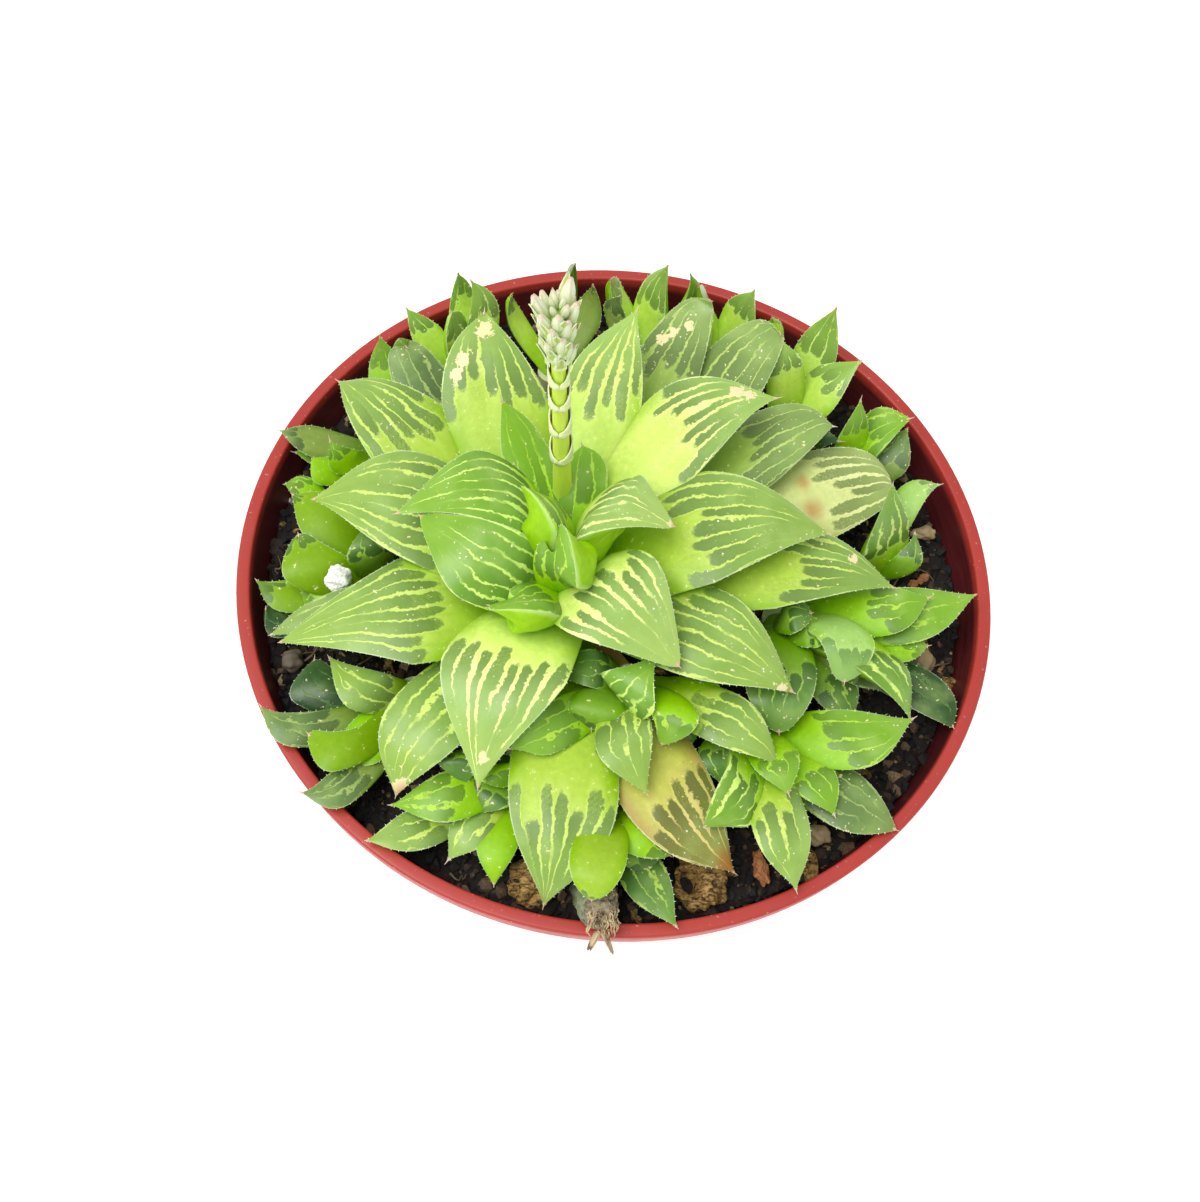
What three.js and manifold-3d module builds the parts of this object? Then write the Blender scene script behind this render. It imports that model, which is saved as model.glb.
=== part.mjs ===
// A clump of window-leaved haworthia in a shallow round nursery pot, in millimetres, +Z up.
// The origin is the middle of the pot's foot, and the plant is seen best from -Y and above.

import * as THREE from "three";
import { mergeVertices } from "three/addons/utils/BufferGeometryUtils.js";
import Module from "manifold-3d";

// ---------------------------------------------------------------- driving sizes

const potHeight = 88;
const rimRadius = 75;
const rimWidth = 2.7;
const footRadius = 50.5;
const footWidth = 6;
const footRise = 1.5;
const wallThickness = 1.5;
const floorThickness = 2;
const lipDrop = 5;
const lipDraft = 0.5;
const lipStep = 1.2;
const rimRound = 0.6;
const drainHoles = 8;
const drainRadius = 4;
const drainCircle = 34;
const potSides = 48;

const soilLevel = 80;
const soilRelief = 2.4;
const soilSides = 32;
const soilRings = 4;
const gap = 0.3;
const rootDepth = 14;

const stalkFoot = new THREE.Vector3(-12, 4.8, 94);
const stalkTop = new THREE.Vector3(-16.2, 4.1, 165);
const stalkRadius = { foot: 2.1, top: 1.3 };
const bractHeights = [113, 122.5, 129, 135];
const bractLength = 8;
const bractWidth = 4.6;
const budsFrom = 140;
const budsTo = 161;
const budCount = 12;
const budLength = 8;
const budWidth = 3.6;
const goldenTurn = Math.PI * (3 - Math.sqrt(5));

// Places are read in plan, as they look from the point `eye`, on the level plane `readingHeight`.
// A point that lies higher or lower is moved along its line of sight.
const eye = new THREE.Vector3(-2.7, -148, 353.6);
const readingHeight = 98;

// ---------------------------------------------------------------- solids

const wasm = await Module();
wasm.setup();

function toSolid(geometry) {
  const bare = geometry.clone();
  bare.deleteAttribute("normal");
  bare.deleteAttribute("uv");
  const merged = mergeVertices(bare, 1e-4);
  return new wasm.Manifold(new wasm.Mesh({
    numProp: 3,
    vertProperties: new Float32Array(merged.attributes.position.array),
    triVerts: new Uint32Array(merged.index.array),
  }));
}

function toGeometry(solid) {
  const mesh = solid.getMesh();
  const geometry = new THREE.BufferGeometry();
  geometry.setAttribute("position", new THREE.BufferAttribute(mesh.vertProperties, 3));
  geometry.setIndex(new THREE.BufferAttribute(mesh.triVerts, 1));
  return geometry;
}

function join(solids) {
  return solids.reduce((whole, next) => whole.add(next));
}

// Loose scraps that a cut leaves are dropped: only the largest body stays.
function largestBody(solid) {
  const bodies = solid.decompose();
  bodies.sort((a, b) => b.volume() - a.volume());
  return bodies[0];
}

function upright(geometry) {
  return geometry.rotateX(Math.PI / 2);
}

function cylinder(radius, bottom, top, x, y, sides) {
  const geometry = upright(new THREE.CylinderGeometry(radius, radius, top - bottom, sides));
  return geometry.translate(x, y, (top + bottom) / 2);
}

// A skin over rings of points, closed by a fan at each end.
function loft(rings) {
  const sides = rings[0].length;
  const points = rings.flat();
  const faces = [];
  for (let ring = 0; ring < rings.length - 1; ring += 1) {
    for (let side = 0; side < sides; side += 1) {
      const next = (side + 1) % sides;
      const here = ring * sides;
      const there = here + sides;
      faces.push(here + side, here + next, there + next);
      faces.push(here + side, there + next, there + side);
    }
  }
  const last = (rings.length - 1) * sides;
  for (let side = 1; side < sides - 1; side += 1) {
    faces.push(0, side + 1, side);
    faces.push(last, last + side, last + side + 1);
  }
  const geometry = new THREE.BufferGeometry();
  geometry.setAttribute("position", new THREE.Float32BufferAttribute(points.flatMap((p) => [p.x, p.y, p.z]), 3));
  geometry.setIndex(faces);
  return geometry;
}

function named(name, geometry, color, roughness) {
  const material = new THREE.MeshStandardMaterial({ color, roughness, metalness: 0 });
  const mesh = new THREE.Mesh(geometry, material);
  mesh.name = name;
  return mesh;
}

function seen(x, y, z) {
  const along = (eye.z - z) / (eye.z - readingHeight);
  return new THREE.Vector3(eye.x + (x - eye.x) * along, eye.y + (y - eye.y) * along, z);
}

// ---------------------------------------------------------------- pot

const wallTop = potHeight - lipDrop;
const wallSlope = (rimRadius - lipStep - lipDraft - footRadius) / wallTop;
const floorTop = footRise + floorThickness;

function outerRadius(z) {
  return footRadius + wallSlope * z;
}

function innerRadius(z) {
  return outerRadius(z) - wallThickness;
}

function potSolid() {
  const outline = [
    [0, footRise],
    [footRadius - footWidth, footRise],
    [footRadius - footWidth, 0],
    [footRadius, 0],
    [outerRadius(wallTop), wallTop],
    [rimRadius - lipDraft, wallTop],
    [rimRadius, potHeight - rimRound],
    [rimRadius - rimRound, potHeight],
    [rimRadius - rimWidth + rimRound, potHeight],
    [rimRadius - rimWidth, potHeight - rimRound],
    [innerRadius(wallTop), wallTop],
    [innerRadius(floorTop), floorTop],
    [0, floorTop],
  ];
  const profile = outline.map(([radius, z]) => new THREE.Vector2(radius, z));
  const shell = toSolid(upright(new THREE.LatheGeometry(profile, potSides)));
  const holes = Array.from({ length: drainHoles }, (_, index) => {
    const turn = (index / drainHoles) * 2 * Math.PI;
    const x = drainCircle * Math.cos(turn);
    const y = drainCircle * Math.sin(turn);
    return toSolid(cylinder(drainRadius, -1, floorTop + 1, x, y, 16));
  });
  return shell.subtract(join(holes));
}

// ---------------------------------------------------------------- leaves

// Every leaf starts in the heart of its rosette, is widest at its shoulder, where it bends
// outwards, and runs out flat and three-cornered to its tip: that end is the window.
const largeWidth = 12;
const widths = {
  atBase: { large: 0.5, small: 0.65 },
  bulge: 0.28,
};
const bend = 0.38;
const crownShare = 0.3;
const keelShare = 0.78;
const leafStations = {
  large: [0, 0.25, 0.5, 0.7, 0.87, 1],
  small: [0, 0.35, 0.6, 0.82, 1],
};
const tipWidth = 0.8;
const tipThickness = 0.7;

function halfWidth(leaf, along) {
  if (along < 0.5) {
    const atBase = leaf.width > largeWidth ? widths.atBase.large : widths.atBase.small;
    return (leaf.width / 2) * (atBase + (1 - atBase) * Math.sin(Math.PI * along));
  }
  const out = 2 * along - 1;
  const bulge = widths.bulge * (1 + 2 * Math.min(0, leaf.blunt));
  const pointed = (1 - out) * (1 + bulge * Math.sin(Math.PI * out));
  const rounded = Math.sqrt(Math.max(0, 1 - out * out));
  const shape = pointed + (rounded - pointed) * Math.max(0, leaf.blunt);
  return Math.max(tipWidth / 2, (leaf.width / 2) * shape);
}

function thickness(leaf, along) {
  const full = leaf.width * leaf.plump;
  const share = along < 0.5 ? 0.8 + 0.4 * along : (2 - 2 * along) ** 0.8;
  return Math.max(tipThickness, full * share);
}

// A leaf's middle line runs straight out of the heart, turns at the shoulder in a soft bend, and runs
// straight to the tip.
function leafRing(leaf, base, along, grow) {
  const { tip, shoulder } = leaf;
  const corner = shoulder.clone().addScaledVector(base, -bend / 2).addScaledVector(tip, -bend / 2)
    .divideScalar(1 - bend);
  const first = corner.clone().sub(base).multiplyScalar(2);
  const last = tip.clone().sub(corner).multiplyScalar(2);
  const bent = THREE.MathUtils.clamp((along - 0.5 + bend) / (2 * bend), 0, 1);
  const turned = Math.max(bend * bent ** 2, along - 0.5);
  const centre = base.clone().addScaledVector(first, along).addScaledVector(last.clone().sub(first), turned);
  const tangent = first.clone().lerp(last, bent).normalize();
  const toTip = new THREE.Vector3(tip.x - base.x, tip.y - base.y, 0).normalize();
  const pastShoulder = new THREE.Vector3(tip.x - shoulder.x, tip.y - shoulder.y, 0).normalize();
  const outward = toTip.lerp(pastShoulder, Math.min(1, 2 * along)).normalize();
  const level = new THREE.Vector3(-outward.y, outward.x, 0);
  const above = tangent.clone().cross(level).normalize();
  const roll = THREE.MathUtils.degToRad(leaf.roll) * Math.min(1, 2 * along);
  const left = level.clone().multiplyScalar(Math.cos(roll)).addScaledVector(above, Math.sin(roll));
  const up = above.clone().multiplyScalar(Math.cos(roll)).addScaledVector(level, -Math.sin(roll));
  const half = halfWidth(leaf, along) + grow;
  const deep = thickness(leaf, along);
  const crown = deep * crownShare * (1 - 0.7 * along) + grow;
  const keel = deep * keelShare + grow;
  const section = [[1, 0], [0, crown], [-1, 0], [-0.62, -0.7 * keel], [0, -keel], [0.62, -0.7 * keel]];
  if (along === 0) centre.addScaledVector(tangent, -grow);
  if (along === 1) centre.addScaledVector(tangent, grow);
  return section.map(([across, high]) => (
    centre.clone().addScaledVector(left, across * half).addScaledVector(up, high)
  ));
}

function leafSolid(leaf, heart, grow) {
  const base = new THREE.Vector3(heart.x, heart.y, baseHeight(heart, leaf.shoulder.z));
  const stations = leaf.width > largeWidth ? leafStations.large : leafStations.small;
  return toSolid(loft(stations.map((along) => leafRing(leaf, base, along, grow))));
}

// Each row: the tip's x, y and height; the shoulder's x, y and height; the width there; the roll of
// the window about the leaf's length, in degrees, left side up; and the form of the tip, from -0.5,
// straight-sided, over 0, gently bulging, to 1, round.
const rosettes = {
  main_rosette: {
    heart: { x: -9.5, y: -13, climb: 0.45, stem: 8 },
    leaves: [
      [-13, -0.5, 118, -11, -6.5, 118, 12.5, -74, 0.5],
      [-20, 8, 116, -13.8, 3.3, 117, 12, 58, 0.6],
      [-23, -18, 112, -15.8, -15.8, 114, 12, 50, 0.4],
      [-28, 28.5, 118, -20.5, 14, 109, 10.5, 0, -0.3],
      [-10.5, 20.5, 112, -9, 11, 107, 9, 0, 0],
      [9.5, 4.8, 117, -4, 6.8, 116, 20, -20, 0.3],
      [13.5, -25, 109, -1.5, -11.5, 114, 22, 0, 0.3],
      [-39.3, -0.8, 113, -23.3, -9.8, 113, 16.5, -15, 0.35],
      [-44, -1, 112, -24, 7, 113, 19.5, 8, 0.1],
      [-60.5, -0.5, 103, -39.5, 1, 105, 23.5, 0, 0],
      [-61, 27.5, 101, -44.5, 17, 102, 19, 0, -0.3],
      [-35, 50, 113, -29.5, 28.5, 108, 20.5, 0, -0.3],
      [-3.5, 56, 114, -8.5, 29, 108, 17, 0, -0.1],
      [27.5, 38.5, 112, 7.5, 26, 110, 20, 0, -0.1],
      [40, 8, 107, 16.5, 6, 110, 24, 0, -0.25],
      [53, -2, 99, 30, -0.5, 103, 19, 0, -0.3],
      [39.5, 33.5, 103, 25, 25.5, 102, 16, 0, -0.3],
      [52.5, 19.5, 93, 38, 17, 96, 20.5, 0, -0.2],
      [27, 55, 104, 18, 43, 100, 15.5, 0, -0.4],
      [11.8, 61, 107, 5, 44.5, 101, 14, 0, -0.45],
      [-49.3, 38.3, 100, -43.3, 28.5, 97, 12, 0, -0.3],
      [35, -27, 101, 16, -17, 106, 19.5, 0, 0.1],
      [-19.5, -54, 98, -18.5, -31, 108, 22.5, 0, -0.2],
      [-60, -31.5, 97, -38.5, -21.5, 103, 22, 0, -0.55],
      [-62, -30.3, 94, -45, -22.5, 96, 12.5, 0, -0.5],
      [-33.5, -57.5, 91, -29.5, -41, 99, 15.5, 0, 0.1],
      [-5, -73.5, 87, -4.5, -52, 97, 20, 0, 0],
      [27, -63, 87, 13, -48.5, 95, 18, 0, -0.1],
    ],
  },
  front_centre_offset: {
    heart: { x: 5, y: -28, climb: 0.5, stem: 4.5 },
    leaves: [
      [-7.5, -29.5, 99, -1.5, -28, 100, 8, 0, 0.8],
      [-1, -40, 98, -0.5, -35, 101, 10, 0, 0.9],
      [9, -23.5, 107, 4.5, -32, 104, 12, 0, 0],
      [12, -41, 100, 13, -34, 103, 9.5, 10, 0.5],
      [20, -33, 98, 17, -30, 99, 8, 0, 0.5],
      [-15, -46, 99, -8, -40.5, 101, 9, -25, 0],
      [10.5, -51, 99, 5, -40.5, 102, 11, 0, 0],
      [4, -50.5, 95, 1, -43, 97, 8.5, 0, 0],
      [33.5, -42, 97, 22.5, -34, 101, 11, 0, 0],
      [17, -41, 93, 14, -37, 95, 9, 0, 0.3],
      [-4, -44, 93, -2, -39, 95, 8.5, 0, 0.3],
    ],
  },
  front_right_offset: {
    heart: { x: 29, y: -31, climb: 0.35, stem: 4.5 },
    leaves: [
      [35.5, -47, 96, 32.5, -40.5, 97, 9, 0, 0.2],
      [21, -55.5, 94, 27, -48, 97, 11, -32, 0.2],
      [38, -64.5, 90, 34.5, -53, 95, 10.5, 0, 0],
      [44, -50, 92, 39, -43, 93, 9, 0, 0],
      [55, -51, 89, 44.5, -46, 90, 12, 0, 0.25],
      [57.5, -29, 94, 45, -35, 95, 12.5, 0, 0],
      [47, -37, 90, 41, -34, 91, 9, 0, 0.1],
      [25, -47.5, 92, 23.5, -40.5, 94, 10.5, 0, 0.3],
    ],
  },
  right_offset: {
    heart: { x: 34, y: -6, climb: 0.3, stem: 4.5 },
    leaves: [
      [37.5, -10, 98, 33, -11, 98, 8.5, 0, 0.9],
      [41, -13, 96, 37, -14, 96, 7, 0, 0.7],
      [44.5, -23.5, 96, 43.5, -13.5, 99, 10.5, 0, 0.95],
      [57, -29, 92, 50.5, -18.5, 96, 11, -25, 0.1],
      [69, -1, 93, 54, -8, 93, 12.5, 0, 0],
      [60, -3, 96, 50, -7.5, 96, 11, 0, 0],
      [60, -13.5, 91, 52, -14, 91, 8.5, 0, 0],
      [65, -29.5, 88, 57, -22, 89, 9.5, 0, 0.3],
      [40, -14, 95, 36, -13.5, 96.5, 8, 0, 0.6],
      [33, -35.5, 95, 32.5, -24, 98, 13.5, 0, 0.65],
      [46, -31, 87, 42, -24, 90, 9.5, 0, 0.3],
      [52, -24, 88, 46, -19, 91, 9, 0, 0.1],
    ],
  },
  right_back_offset: {
    heart: { x: 52, y: 9, climb: 0.2, stem: 3.5 },
    leaves: [
      [52, 21.5, 104, 51.3, 8, 93, 13, 32, 0.15],
      [61.5, 23, 95, 55, 17.5, 91, 7.5, 0, -0.3],
      [56.8, 11, 92, 55.3, 4, 90, 5.5, 0, 0],
    ],
  },
  back_right_offset: {
    heart: { x: 43, y: 29, climb: 0.2, stem: 3 },
    leaves: [
      [44.7, 41, 102, 43.5, 31, 94, 7.5, 25, -0.2],
      [55, 38, 98, 47.5, 33, 93, 10.5, 0, 0.2],
      [54.6, 35.5, 95, 50, 27, 89, 10, 0, 0],
      [41, 30, 95, 37, 28.5, 92, 6, 0, 0.2],
    ],
  },
  back_right_tall_offset: {
    heart: { x: 31, y: 40, climb: 0.2, stem: 3.5 },
    leaves: [
      [38.5, 64, 106, 34.5, 50, 94, 9.5, 0, -0.1],
      [44.5, 51, 99, 36, 41.5, 92, 11, 0, -0.1],
      [27.5, 53, 103, 29, 43.5, 96, 9, 0, 0.2],
    ],
  },
  back_centre_right_offset: {
    heart: { x: 18, y: 49, climb: 0.2, stem: 3 },
    leaves: [
      [20.7, 65.5, 103, 18, 55, 92, 11, 0, -0.1],
      [25, 59, 98, 24, 53, 90, 6, 0, 0.1],
      [9, 64.5, 102, 12, 57, 92, 8, 0, 0.2],
    ],
  },
  back_centre_offset: {
    heart: { x: 0, y: 51, climb: 0.2, stem: 3 },
    leaves: [
      [1.7, 69, 104, -0.5, 57.5, 92, 10.5, 0, -0.3],
      [6.8, 67.5, 102, 7, 58, 91, 6, 0, -0.2],
      [-10, 63, 99, -7, 56.5, 91, 9, 0, 0.1],
      [-7.5, 59, 101, -7.5, 53, 94, 5.5, 0, 0],
    ],
  },
  back_centre_left_offset: {
    heart: { x: -20, y: 48, climb: 0.2, stem: 3 },
    leaves: [
      [-18, 66, 103, -19.5, 57, 92, 9, 0, -0.2],
      [-13.5, 61, 100, -14, 52, 91, 7.5, 0, -0.3],
      [-30, 55.5, 99, -28, 49, 91, 5.5, 0, -0.3],
    ],
  },
  back_left_offset: {
    heart: { x: -37, y: 41, climb: 0.2, stem: 3.5 },
    leaves: [
      [-42, 59, 103, -39.5, 50, 93, 7, 0, -0.3],
      [-39, 57.5, 104, -35, 48.5, 96, 8.5, 0, -0.4],
      [-41.5, 48.5, 102, -39.5, 43, 96, 8, 20, 0.3],
      [-51, 48, 97, -45, 41, 91, 8, 0, -0.3],
    ],
  },
  left_back_offset: {
    heart: { x: -50, y: 20, climb: 0.25, stem: 3.5 },
    leaves: [
      [-55, 40, 97, -52, 30, 90, 7, 0, 0],
      [-70, 14, 92, -62, 12.5, 89, 7.5, 0, 0],
      [-60, 13.5, 95, -55.5, 9, 91, 7, 0, 0],
      [-62.5, 8.5, 91, -58, 6.5, 89, 7.5, 0, 0.4],
      [-66, 9.5, 88, -60, 10, 86, 7, 0, 0],
    ],
  },
  left_offset: {
    heart: { x: -47, y: -8, climb: 0.25, stem: 4 },
    leaves: [
      [-66.5, 2, 89, -60, -0.5, 87, 7, 0, 0],
      [-64.5, 0, 91, -56, -5, 91, 12, 0, 0.1],
      [-61.5, -8.5, 94, -56, -15.5, 93, 12, 0, 0.6],
      [-67, -19.5, 88, -59, -21.5, 87, 8, 0, -0.1],
      [-49.5, -5.5, 97, -47, -10, 95, 10, 0, 0.3],
      [-64, -25, 86, -59, -26, 84, 9, 0, 0.3],
      [-57, -23, 88, -54, -19, 89, 10.5, 0, 0.3],
    ],
  },
  left_front_offset: {
    heart: { x: -35, y: -33, climb: 0.3, stem: 4.5 },
    leaves: [
      [-50.5, -33, 93, -42.5, -38.5, 93, 9.5, 0, -0.2],
      [-53, -34, 89, -49, -40, 88, 12, 0, 0.5],
      [-60.5, -44.5, 91.2, -51, -47.5, 90.2, 8, 0, -0.1],
      [-51, -48.5, 93, -43, -50, 93, 9, 0, 0.7],
      [-50, -59.5, 91.2, -42, -56, 90.2, 8, 0, 0],
      [-46, -53, 88, -40, -47.5, 90, 10, 0, 0.1],
    ],
  },
  front_left_offset: {
    heart: { x: -13, y: -45, climb: 0.3, stem: 4.5 },
    leaves: [
      [-34, -59.5, 91, -23.5, -56, 93, 10, 0, 0],
      [-37, -66.5, 90.5, -27, -62, 89, 8.5, 0, 0],
      [-22.5, -68, 88, -18.5, -60, 90, 9, 0, 0],
      [-14, -71, 88, -14.5, -62, 90, 8, 0, 0.2],
      [-22, -53.5, 93, -22.5, -49, 95, 9, 0, 0.5],
      [-14, -53, 93, -15.5, -50, 95, 9, 0, 0.6],
      [-19, -59, 90, -17, -54, 92, 9.5, 0, 0.1],
      [-28, -61, 88, -22, -57, 90, 8, 0, 0.1],
    ],
  },
  front_offset: {
    heart: { x: 4.5, y: -50, climb: 0.3, stem: 4.5 },
    leaves: [
      [3, -71.4, 96.5, 3.2, -63.5, 98, 10, 0, 0.75],
      [15.5, -61.5, 91, 10, -57.5, 93, 10, 0, 0.6],
      [18, -74, 90.5, 11.5, -66, 89, 8.5, 0, 0],
      [12, -66, 88, 9.5, -60.5, 90, 9, 0, 0.2],
      [-1, -62, 89, 0.5, -57.5, 91, 8.5, 0, 0.3],
    ],
  },
};

function readLeaf([tipX, tipY, tipZ, shoulderX, shoulderY, shoulderZ, width, roll, blunt]) {
  return {
    tip: seen(tipX, tipY, tipZ),
    shoulder: seen(shoulderX, shoulderY, shoulderZ),
    width,
    roll,
    blunt,
    plump: width > largeWidth ? 0.36 : 0.48,
  };
}

function baseHeight(heart, shoulderHeight) {
  return soilLevel + 1 + heart.climb * (shoulderHeight - soilLevel);
}

// The stem carries the leaf bases and reaches down into the soil.
function stemSolid({ heart, leaves }, grow) {
  const highest = Math.max(...leaves.map((row) => row[5]));
  const bottom = soilLevel - rootDepth - grow;
  return toSolid(cylinder(heart.stem + grow, bottom, baseHeight(heart, highest) + grow, heart.x, heart.y, 12));
}

function rosetteSolid(rosette, grow) {
  const parts = rosette.leaves.map((row) => leafSolid(readLeaf(row), rosette.heart, grow));
  const above = new THREE.BoxGeometry(300, 300, 200).translate(0, 0, soilLevel + gap - grow + 100);
  return join(parts).intersect(toSolid(above)).add(stemSolid(rosette, grow));
}

// ---------------------------------------------------------------- flower stalk

const stalkAxis = stalkTop.clone().sub(stalkFoot).normalize();
const stalkAcross = new THREE.Vector3(1, 0, 0).cross(stalkAxis).normalize().cross(stalkAxis).negate();
const stalkBeside = stalkAxis.clone().cross(stalkAcross);

function stalkPoint(height, turn, radius) {
  const along = (height - stalkFoot.z) / stalkAxis.z;
  return stalkFoot.clone().addScaledVector(stalkAxis, along)
    .addScaledVector(stalkAcross, radius * Math.cos(turn))
    .addScaledVector(stalkBeside, radius * Math.sin(turn));
}

function stalkRing(height, radius, sides) {
  return Array.from({ length: sides }, (_, side) => (
    stalkPoint(height, (side / sides) * 2 * Math.PI, radius)
  ));
}

function pedunclePart(grow) {
  const { foot, top } = stalkRadius;
  return toSolid(loft([
    stalkRing(stalkFoot.z - grow, foot + grow, 8),
    stalkRing(budsFrom, (foot + top) / 2 + grow, 8),
    stalkRing(stalkTop.z - 2, top + grow, 8),
  ]));
}

// A membranous bract clasps the stalk with its broad base and stands off it at its tip.
function bract(height, turn, length, width, lean) {
  const sweep = width / 2 / (stalkRadius.foot + 0.3);
  const shape = [[0, 1, 0.1], [0.5, 0.95, lean * 0.3], [1, 0.2, lean]];
  const rings = shape.map(([along, spread, off]) => {
    const level = height + along * length;
    const inner = stalkRadius.foot - 0.45 + off;
    const outer = inner + 1.05;
    return [
      stalkPoint(level, turn - sweep * spread, inner),
      stalkPoint(level, turn, inner + 0.2),
      stalkPoint(level, turn + sweep * spread, inner),
      stalkPoint(level, turn + sweep * spread, outer - 0.2),
      stalkPoint(level, turn, outer + 0.3),
      stalkPoint(level, turn - sweep * spread, outer - 0.2),
    ];
  });
  return toSolid(loft(rings));
}

function bud(height, turn, lean) {
  const shape = [[0, 0.6], [0.5, 1], [1, 0.25]];
  const rings = shape.map(([along, girth]) => {
    const level = height + along * budLength;
    const centre = stalkPoint(level, turn, stalkRadius.top + 0.2 + lean * along);
    return Array.from({ length: 5 }, (_, side) => {
      const spin = (side / 5) * 2 * Math.PI;
      return centre.clone()
        .addScaledVector(stalkAcross, (budWidth / 2) * girth * Math.cos(spin))
        .addScaledVector(stalkBeside, (budWidth / 2) * girth * Math.sin(spin));
    });
  });
  return toSolid(loft(rings));
}

function stalkSolid() {
  const bracts = bractHeights.map((height, index) => (
    bract(height, index * goldenTurn - Math.PI / 2, bractLength, bractWidth, 0.7)
  ));
  const buds = Array.from({ length: budCount }, (_, index) => {
    const share = index / (budCount - 1);
    const lean = 2.6 * (1 - share) + 0.4;
    return bud(budsFrom + share * (budsTo - budsFrom - 2), index * goldenTurn, lean);
  });
  return join([pedunclePart(0), ...bracts, ...buds]);
}

// ---------------------------------------------------------------- soil and loose pieces

// A rounded stone or chip: a ball of triangles with uneven, seedless bumps by formula.
function stone(place, size, turn, grow) {
  const ball = mergeVertices(new THREE.IcosahedronGeometry(1, 1).deleteAttribute("uv").deleteAttribute("normal"));
  const points = ball.attributes.position;
  const point = new THREE.Vector3();
  for (let index = 0; index < points.count; index += 1) {
    point.fromBufferAttribute(points, index);
    const bump = 1 + 0.14 * Math.sin(5 * point.x + 3 * point.y + turn) * Math.cos(4 * point.z + 2 * turn);
    points.setXYZ(
      index,
      point.x * (size[0] / 2 + grow) * bump,
      point.y * (size[1] / 2 + grow) * bump,
      point.z * (size[2] / 2 + grow) * bump,
    );
  }
  return toSolid(ball.rotateZ(turn).translate(place[0], place[1], place[2]));
}

const loosePieces = [
  { name: "bark_chunk", place: [23, -60, 81], size: [9, 10.5, 8], turn: 0.4, color: 0xa08050 },
  { name: "bark_piece", place: [-8, -64.3, 80.5], size: [9, 8.5, 7], turn: 2.1, color: 0x8a6f48 },
  { name: "bark_chip", place: [34.3, -55.8, 80.3], size: [3.4, 6.4, 3.2], turn: 0.5, color: 0xb0662e },
  { name: "pebble_left", place: [-60.7, -26.8, 80.2], size: [4.6, 4.2, 4], turn: 1.2, color: 0x9c9080 },
  { name: "pebble_right", place: [63.1, -7.8, 80.2], size: [5.5, 5.5, 4.6], turn: 2.6, color: 0xb09060 },
];

// The dry, fibrous remains of a dead offset lean over the rim and end in two prongs.
const stumpPath = [[3, -59.5, 68, 3.8], [3.4, -64.5, 82, 4.2], [4.2, -69.8, 91, 3.6], [5, -73.2, 91.6, 2.8]];
const prongs = [[3.8, -74.4, 91], [7.2, -74.4, 91]];
const prongRadius = 0.8;

function tube(path, sides) {
  const rings = path.map(([x, y, z, radius], index) => {
    const [before, after] = [path[Math.max(0, index - 1)], path[Math.min(path.length - 1, index + 1)]];
    const tangent = new THREE.Vector3(after[0] - before[0], after[1] - before[1], after[2] - before[2]).normalize();
    const across = new THREE.Vector3(1, 0, 0).addScaledVector(tangent, -tangent.x).normalize();
    const beside = tangent.clone().cross(across);
    return Array.from({ length: sides }, (_, side) => {
      const spin = (side / sides) * 2 * Math.PI;
      return new THREE.Vector3(x, y, z)
        .addScaledVector(across, radius * Math.cos(spin))
        .addScaledVector(beside, radius * Math.sin(spin));
    });
  });
  return toSolid(loft(rings));
}

function stumpSolid(grow) {
  const body = tube(stumpPath.map(([x, y, z, radius], index) => [x, y, index ? z : z - grow, radius + grow]), 8);
  const [rootX, rootY, rootZ] = stumpPath[3];
  const ends = prongs.map(([x, y, z]) => (
    tube([[rootX, rootY + 2, rootZ, prongRadius + grow], [x, y, z, prongRadius * 0.7 + grow]], 5)
  ));
  return join([body, ...ends]);
}

function soilTop(x, y) {
  const waves = Math.sin(0.31 * x + 0.7) * Math.cos(0.27 * y) + 0.6 * Math.sin(0.53 * y - 0.21 * x);
  return soilLevel - soilRelief * (0.5 + 0.3 * waves);
}

function soilSolid() {
  const edge = innerRadius(soilLevel - soilRelief) - gap;
  const rings = [];
  for (let ring = soilRings; ring >= 1; ring -= 1) {
    const radius = (edge * ring) / soilRings;
    rings.push(Array.from({ length: soilSides }, (_, side) => {
      const turn = (side / soilSides) * 2 * Math.PI;
      const x = radius * Math.cos(turn);
      const y = radius * Math.sin(turn);
      return new THREE.Vector3(x, y, soilTop(x, y));
    }));
  }
  const bottomRadius = innerRadius(floorTop) - gap;
  const bottom = rings[0].map((p) => (
    new THREE.Vector3((p.x / edge) * bottomRadius, (p.y / edge) * bottomRadius, floorTop)
  ));
  return toSolid(loft([bottom, ...rings]));
}

// ---------------------------------------------------------------- assembly

const plant = new THREE.Group();
plant.add(named("pot", toGeometry(potSolid()), 0xc4443c, 0.45));

const leafColor = 0x7fb34a;
const stalkSocket = pedunclePart(gap);
const taken = [stalkSocket];
const holes = [];
for (const [name, rosette] of Object.entries(rosettes)) {
  const body = taken.reduce((left, other) => left.subtract(other), rosetteSolid(rosette, 0));
  plant.add(named(name, toGeometry(largestBody(body)), leafColor, 0.45));
  taken.push(rosetteSolid(rosette, gap));
  const { x, y, stem } = rosette.heart;
  holes.push(toSolid(cylinder(stem + gap, soilLevel - rootDepth, soilLevel + 1, x, y, 12)));
}

plant.add(named("flower_stalk", toGeometry(stalkSolid()), 0xa9be5b, 0.6));

// The grain of perlite lies on a leaf of the left offset.
const grainPlace = seen(-52.2, -16.7, 96);
const grain = stone(grainPlace.toArray(), [4.8, 4.4, 4], 0.9, 0);
const grainOnLeaf = taken.reduce((left, other) => left.subtract(other), grain);
plant.add(named("perlite_grain", toGeometry(largestBody(grainOnLeaf)), 0xf2f2ee, 0.9));

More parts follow.
